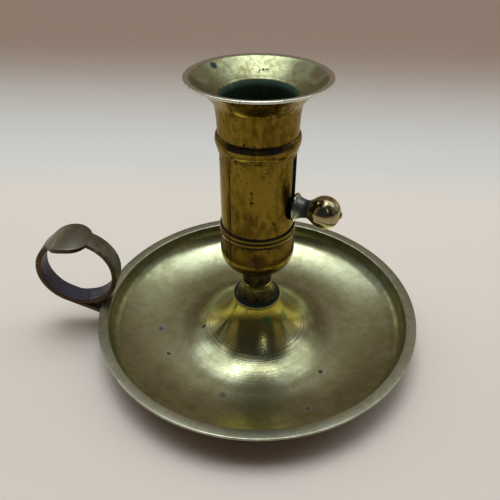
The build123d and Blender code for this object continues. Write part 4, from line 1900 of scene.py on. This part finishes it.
@dataclass
class Ejector:
    """What the thumb pushes: collar and pear knob on the stud.

    Attributes:
        nipple_steps: knots of the knob's nipple, each as its share of the nipple's radius, its share of
            the nipple's length, and its wear.
    """

    stud_height: float = 60.55
    azimuth: float = -16.0
    stud_radius: float = 1.6
    stud_end: float = 22.5
    collar_root: float = 12.68
    collar_radius: float = 4.8
    collar_edge: float = 0.8
    collar_chamfer: float = 0.3
    collar_round: float = 0.15
    waist: float = 17.28
    waist_radius: float = 2.95
    ball_reach: float = 22.8
    ball_radius: float = 5.45
    neck_angle: float = 32.0
    nipple_radius: float = 1.1
    nipple_length: float = 0.6
    nipple_round: float = 0.12
    nipple_steps: tuple[Point, ...] = ((0.92, 0.45, 0.5), (0.6, 0.85, 0.9), (0.0, 1.0, 0.9))
    segments: int = 96
    collar_finishes: tuple[BrassFinish, ...] = (COLLAR_FINISH,)
    knob_finishes: tuple[BrassFinish, ...] = (KNOB_FINISH,)

    @property
    def axis(self) -> Matrix:
        """Placement of the stud's axis, outward from the candle axis.

        Returns:
            The placement.
        """
        lift = Matrix.Translation((0.0, 0.0, self.stud_height * MM))
        around = Matrix.Rotation(math.radians(self.azimuth), 4, "Z")
        return lift @ around @ Matrix.Rotation(math.pi / 2, 4, "Y")

    def collar_profile(self) -> list[Knot]:
        """Closed section of the flange and its waist.

        Returns:
            The knots.
        """
        flange = (self.collar_radius, self.collar_root + self.collar_edge)
        waist = (self.waist_radius, self.waist)
        return [
            Knot(self.stud_radius, self.waist, grime_and_shade=1.0),
            Knot(self.stud_radius, self.collar_root, grime_and_shade=1.0),
            Knot(self.collar_radius - self.collar_chamfer, self.collar_root, grime_and_shade=0.8),
            Knot(self.collar_radius, self.collar_root + self.collar_chamfer, grime_and_shade=0.2, wear=0.6),
            Knot(*flange, ease=self.collar_round, wear=0.7),
            *flow(flange, (-1.0, 0.45), waist, (-0.12, 1.0), 14, grime_and_shade=(0.1, 0.7)),
        ]

    def knob_profile(self) -> list[Knot]:
        """Section of the knob, from the blind hole round the outside to its tip.

        Returns:
            The knots.
        """
        neck = math.radians(self.neck_angle)
        along_neck = (math.sin(neck), math.cos(neck))
        tangent = (self.ball_radius * math.cos(neck), self.ball_reach - self.ball_radius * math.sin(neck))
        nipple = math.degrees(math.acos(self.nipple_radius / self.ball_radius))
        root = (self.waist_radius, self.waist)
        knots = [
            Knot(0.0, self.stud_end, grime_and_shade=1.0),
            Knot(self.stud_radius, self.stud_end, grime_and_shade=1.0),
            Knot(self.stud_radius, self.waist, grime_and_shade=1.0),
            Knot(*root, grime_and_shade=0.75),
        ]
        knots += flow(root, (0.25, 1.0), tangent, along_neck, 10, grime_and_shade=(0.7, 0.1))
        knots += arc((0.0, self.ball_reach), self.ball_radius, -self.neck_angle, nipple, 32)[1:]
        end = knots[-1].height
        knots[-1] = replace(knots[-1], ease=self.nipple_round, grime_and_shade=0.7)
        for out, on, wear in self.nipple_steps:
            knots.append(Knot(self.nipple_radius * out, end + self.nipple_length * on, wear=wear))
        return knots

    def build(self, effects: Effects) -> None:
        """Make the collar and the knob and join them to the frame.

        Args:
            effects: the shared node groups.
        """
        collar = turned("collar", self.collar_profile(), self.segments, closed=True, turn=self.axis)
        install(collar, Body.EJECTOR, Slot.COLLAR, self.collar_finishes, effects, "knob_collar")
        knob = turned("knob", self.knob_profile(), self.segments, closed=False, turn=self.axis)
        install(knob, Body.EJECTOR, Slot.KNOB, self.knob_finishes, effects, "push_knob")


COOL_LAMP: Colour = (0.87, 0.99, 1.18)
WARM_LAMP: Colour = (1.0, 0.97, 0.72)
AMBER_LAMP: Colour = (1.08, 0.92, 0.6)
AT_OBJECT: Point = (0.0, 0.0, 0.02)


@dataclass(frozen=True)
class Lamp:
    """Soft rectangular lamp that the camera doesn't see.

    Attributes:
        name: name of the lamp.
        place: where it stands, in metres.
        size: its width and height in metres.
        watts: its power.
        aim: the point that it faces, in metres; straight down when left out.
        colour: its colour.
    """

    name: str
    place: Point
    size: Pair
    watts: float
    aim: Point | None = None
    colour: Colour = COOL_LAMP

    def build(self) -> None:
        """Put the lamp into the scene."""
        light = bpy.data.lights.new(self.name, "AREA")
        light.shape = "RECTANGLE"
        light.size, light.size_y = self.size
        light.energy = self.watts
        light.color = self.colour
        aim = self.aim or (*self.place[:2], 0.0)
        lamp = bpy.data.objects.new(self.name, light)
        lamp.location = self.place
        lamp.rotation_euler = (Vector(aim) - Vector(self.place)).to_track_quat("-Z", "Y").to_euler()
        lamp.visible_camera = False
        bpy.context.scene.collection.objects.link(lamp)


@dataclass
class Stage:
    """Pale floor, soft lamps and the camera at the photograph's angle.

    The floor, the lamps and clip_start are in metres, the camera's place, lens and sensor in millimetres
    and its angles in degrees.

    Attributes:
        middle_reach: distances towards the back over which the floor takes its middle colour.
        far_reach: distances towards the back over which it darkens to its far colour, painted shade of
            the backdrop.
        fade_reach: distances from the object over which it fades into the room.
        room_colour: what the camera sees of the room.
        room_light: what the room adds to the light.
        room_mirrored: what the metal mirrors of the room.
    """

    camera_place: Point = (8.2, -156.5, 157.7)
    camera_turn: float = 3.951
    camera_pitch: float = 37.027
    camera_roll: float = -0.107
    lens: float = 39.51
    sensor: float = 36.0
    clip_start: float = 0.01
    floor_colour: Colour = (0.706, 0.595, 0.456)
    middle_colour: Colour = (0.612, 0.564, 0.464)
    far_shade_colour: Colour = (0.258, 0.171, 0.109)
    floor_roughness: float = 0.9
    floor_reach: float = 2.6
    middle_reach: Pair = (0.09, 0.15)
    far_reach: Pair = (0.12, 0.37)
    fade_reach: Pair = (0.75, 1.9)
    curve_start: float = 0.3
    curve_radius: float = 0.35
    curve_steps: int = 12
    backdrop_top: float = 1.2
    room_colour: Colour = (0.36, 0.31, 0.27)
    room_light: Colour = (0.03, 0.014, 0.007)
    room_mirrored: Colour = (0.042, 0.045, 0.054)

    def build(self) -> None:
        """Make the floor, the world, the lamps and the camera."""
        self._floor()
        self._world()
        for lamp in self.lamps():
            lamp.build()
        self._camera()

    @staticmethod
    def lamps() -> list[Lamp]:
        """Panels of a light tent round the object, and one small lamp in front of it.

        Returns:
            The lamps.
        """
        lamps = [
            Lamp("tent roof left", (-0.4125, 0.2325, 1.0), (1.065, 0.725), 4.93),
            Lamp("tent roof right", (0.7125, 0.2725, 1.0), (1.185, 0.645), 4.88),
            Lamp("tent roof front", (-0.09, -0.2, 1.0), (0.42, 0.14), 0.375),
            Lamp("tent middle", (-0.03, 0.1, 0.99), (0.5, 0.4), 3.9),
        ]
        for side in (-1.0, 1.0):
            lamps += [
                Lamp("tent side", (0.84 * side, 0.34, 0.42), (0.8, 0.65), 0.65, AT_OBJECT),
                Lamp("tent foot", (0.519 * side, 0.519, 0.176), (0.45, 0.13), 0.16, AT_OBJECT, WARM_LAMP),
                Lamp("tent front", (0.852 * side, -0.31, 0.55), (0.42, 0.9), 0.22, AT_OBJECT, AMBER_LAMP),
            ]
        lamps.append(Lamp("small lamp", (0.276, -0.65, 0.707), (0.014, 0.4), 0.2, AT_OBJECT))
        return lamps

    def _floor(self) -> None:
        """Floor that runs up into a backdrop in one curve."""
        outline = [(-self.floor_reach, 0.0), (self.curve_start, 0.0)]
        for step in range(1, self.curve_steps + 1):
            angle = math.radians(90.0 * step / self.curve_steps)
            back = self.curve_start + self.curve_radius * math.sin(angle)
            outline.append((back, self.curve_radius * (1 - math.cos(angle))))
        outline.append((self.curve_start + self.curve_radius, self.backdrop_top))
        sides = (-self.floor_reach, self.floor_reach)
        vertices = [Vector((x, y, z)) for y, z in outline for x in sides]
        faces = [(2 * i, 2 * i + 1, 2 * i + 3, 2 * i + 2) for i in range(len(outline) - 1)]
        floor = new_object("floor", vertices, faces)
        floor.data.materials.append(self._paper())

    def _paper(self) -> bpy.types.Material:
        """Paper of the floor, darkened towards the back with painted shade, which fades into the room far
        out where the camera sees it.

        Returns:
            The material.
        """
        material = bpy.data.materials.new("paper floor")
        material.use_nodes = True
        nodes = Nodes(material.node_tree)
        place = nodes.place()
        back = nodes.parts(place)[1]
        near = nodes.blend(nodes.ramp(back, *self.middle_reach), self.floor_colour, self.middle_colour)
        # Painted shade: the paper darkens towards the back, where the backdrop lies in shadow.
        paper = nodes.blend(nodes.ramp(back, *self.far_reach), near, self.far_shade_colour)
        shader = material.node_tree.nodes["Principled BSDF"]
        nodes.feed_all(shader, {"Base Color": paper, "Roughness": self.floor_roughness})
        apart = nodes.add("VectorMath", operation="LENGTH")
        nodes.feed(apart, 0, place)
        fade = nodes.ramp(apart.outputs["Value"], *self.fade_reach)
        room = nodes.feed_all(nodes.add("Emission"), {"Color": (*self.room_colour, 1.0)})
        either = nodes.add("MixShader")
        seen = nodes.times(fade, nodes.add("LightPath").outputs["Is Camera Ray"])
        for index, source in enumerate((seen, shader.outputs[0], room.outputs[0])):
            nodes.feed(either, index, source)
        nodes.feed(material.node_tree.nodes["Material Output"], "Surface", either.outputs[0])
        return material

    def _world(self) -> None:
        """Dim room: warm in the shadows, grey where the metal mirrors it and pale to the camera."""
        world = bpy.data.worlds.new("studio")
        world.use_nodes = True
        nodes = Nodes(world.node_tree)
        path = nodes.add("LightPath").outputs
        mirrored = nodes.blend(path["Is Glossy Ray"], self.room_light, self.room_mirrored)
        seen = nodes.blend(path["Is Camera Ray"], mirrored, self.room_colour)
        nodes.feed(world.node_tree.nodes["Background"], "Color", seen)
        bpy.context.scene.world = world

    def _camera(self) -> None:
        """Camera where the photographer stood."""
        data = bpy.data.cameras.new("camera")
        data.sensor_width = self.sensor
        data.lens = self.lens
        data.clip_start = self.clip_start
        camera = bpy.data.objects.new("camera", data)
        camera.matrix_world = (
            Matrix.Translation(Vector(self.camera_place) * MM)
            @ Matrix.Rotation(math.radians(self.camera_turn), 4, "Z")
            @ Matrix.Rotation(math.radians(90.0 - self.camera_pitch), 4, "X")
            @ Matrix.Rotation(math.radians(self.camera_roll), 4, "Z")
        )
        bpy.context.scene.collection.objects.link(camera)
        bpy.context.scene.camera = camera


def dress_hidden(frame: dict, effects: Effects) -> None:
    """Give the frame's hidden pieces their oxidised finish.

    Args:
        effects: the shared node groups.
    """
    hidden = HIDDEN_FINISH.material(effects)
    for name in ("stem_washer", "stem_nut", "ejector_cup", "ejector_stud", "stud_nut"):
        node = frame["nodes"][name]
        node.data.materials.clear()
        node.data.materials.append(hidden)
        LOG.info("%s keeps the frame's shape", name)


def main() -> None:
    """Build the chamberstick around its frame."""
    logging.basicConfig(level=logging.INFO, format="%(name)s: %(message)s")
    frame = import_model()
    bpy.context.scene.view_settings.view_transform = "Standard"
    effects = Effects()
    for piece in (DripPan(), FingerLoop(), Stem(), SocketBarrel(), Nozzle(), Ejector()):
        piece.build(effects)
    dress_hidden(frame, effects)
    Stage().build()


if __name__ == "__main__":
    main()
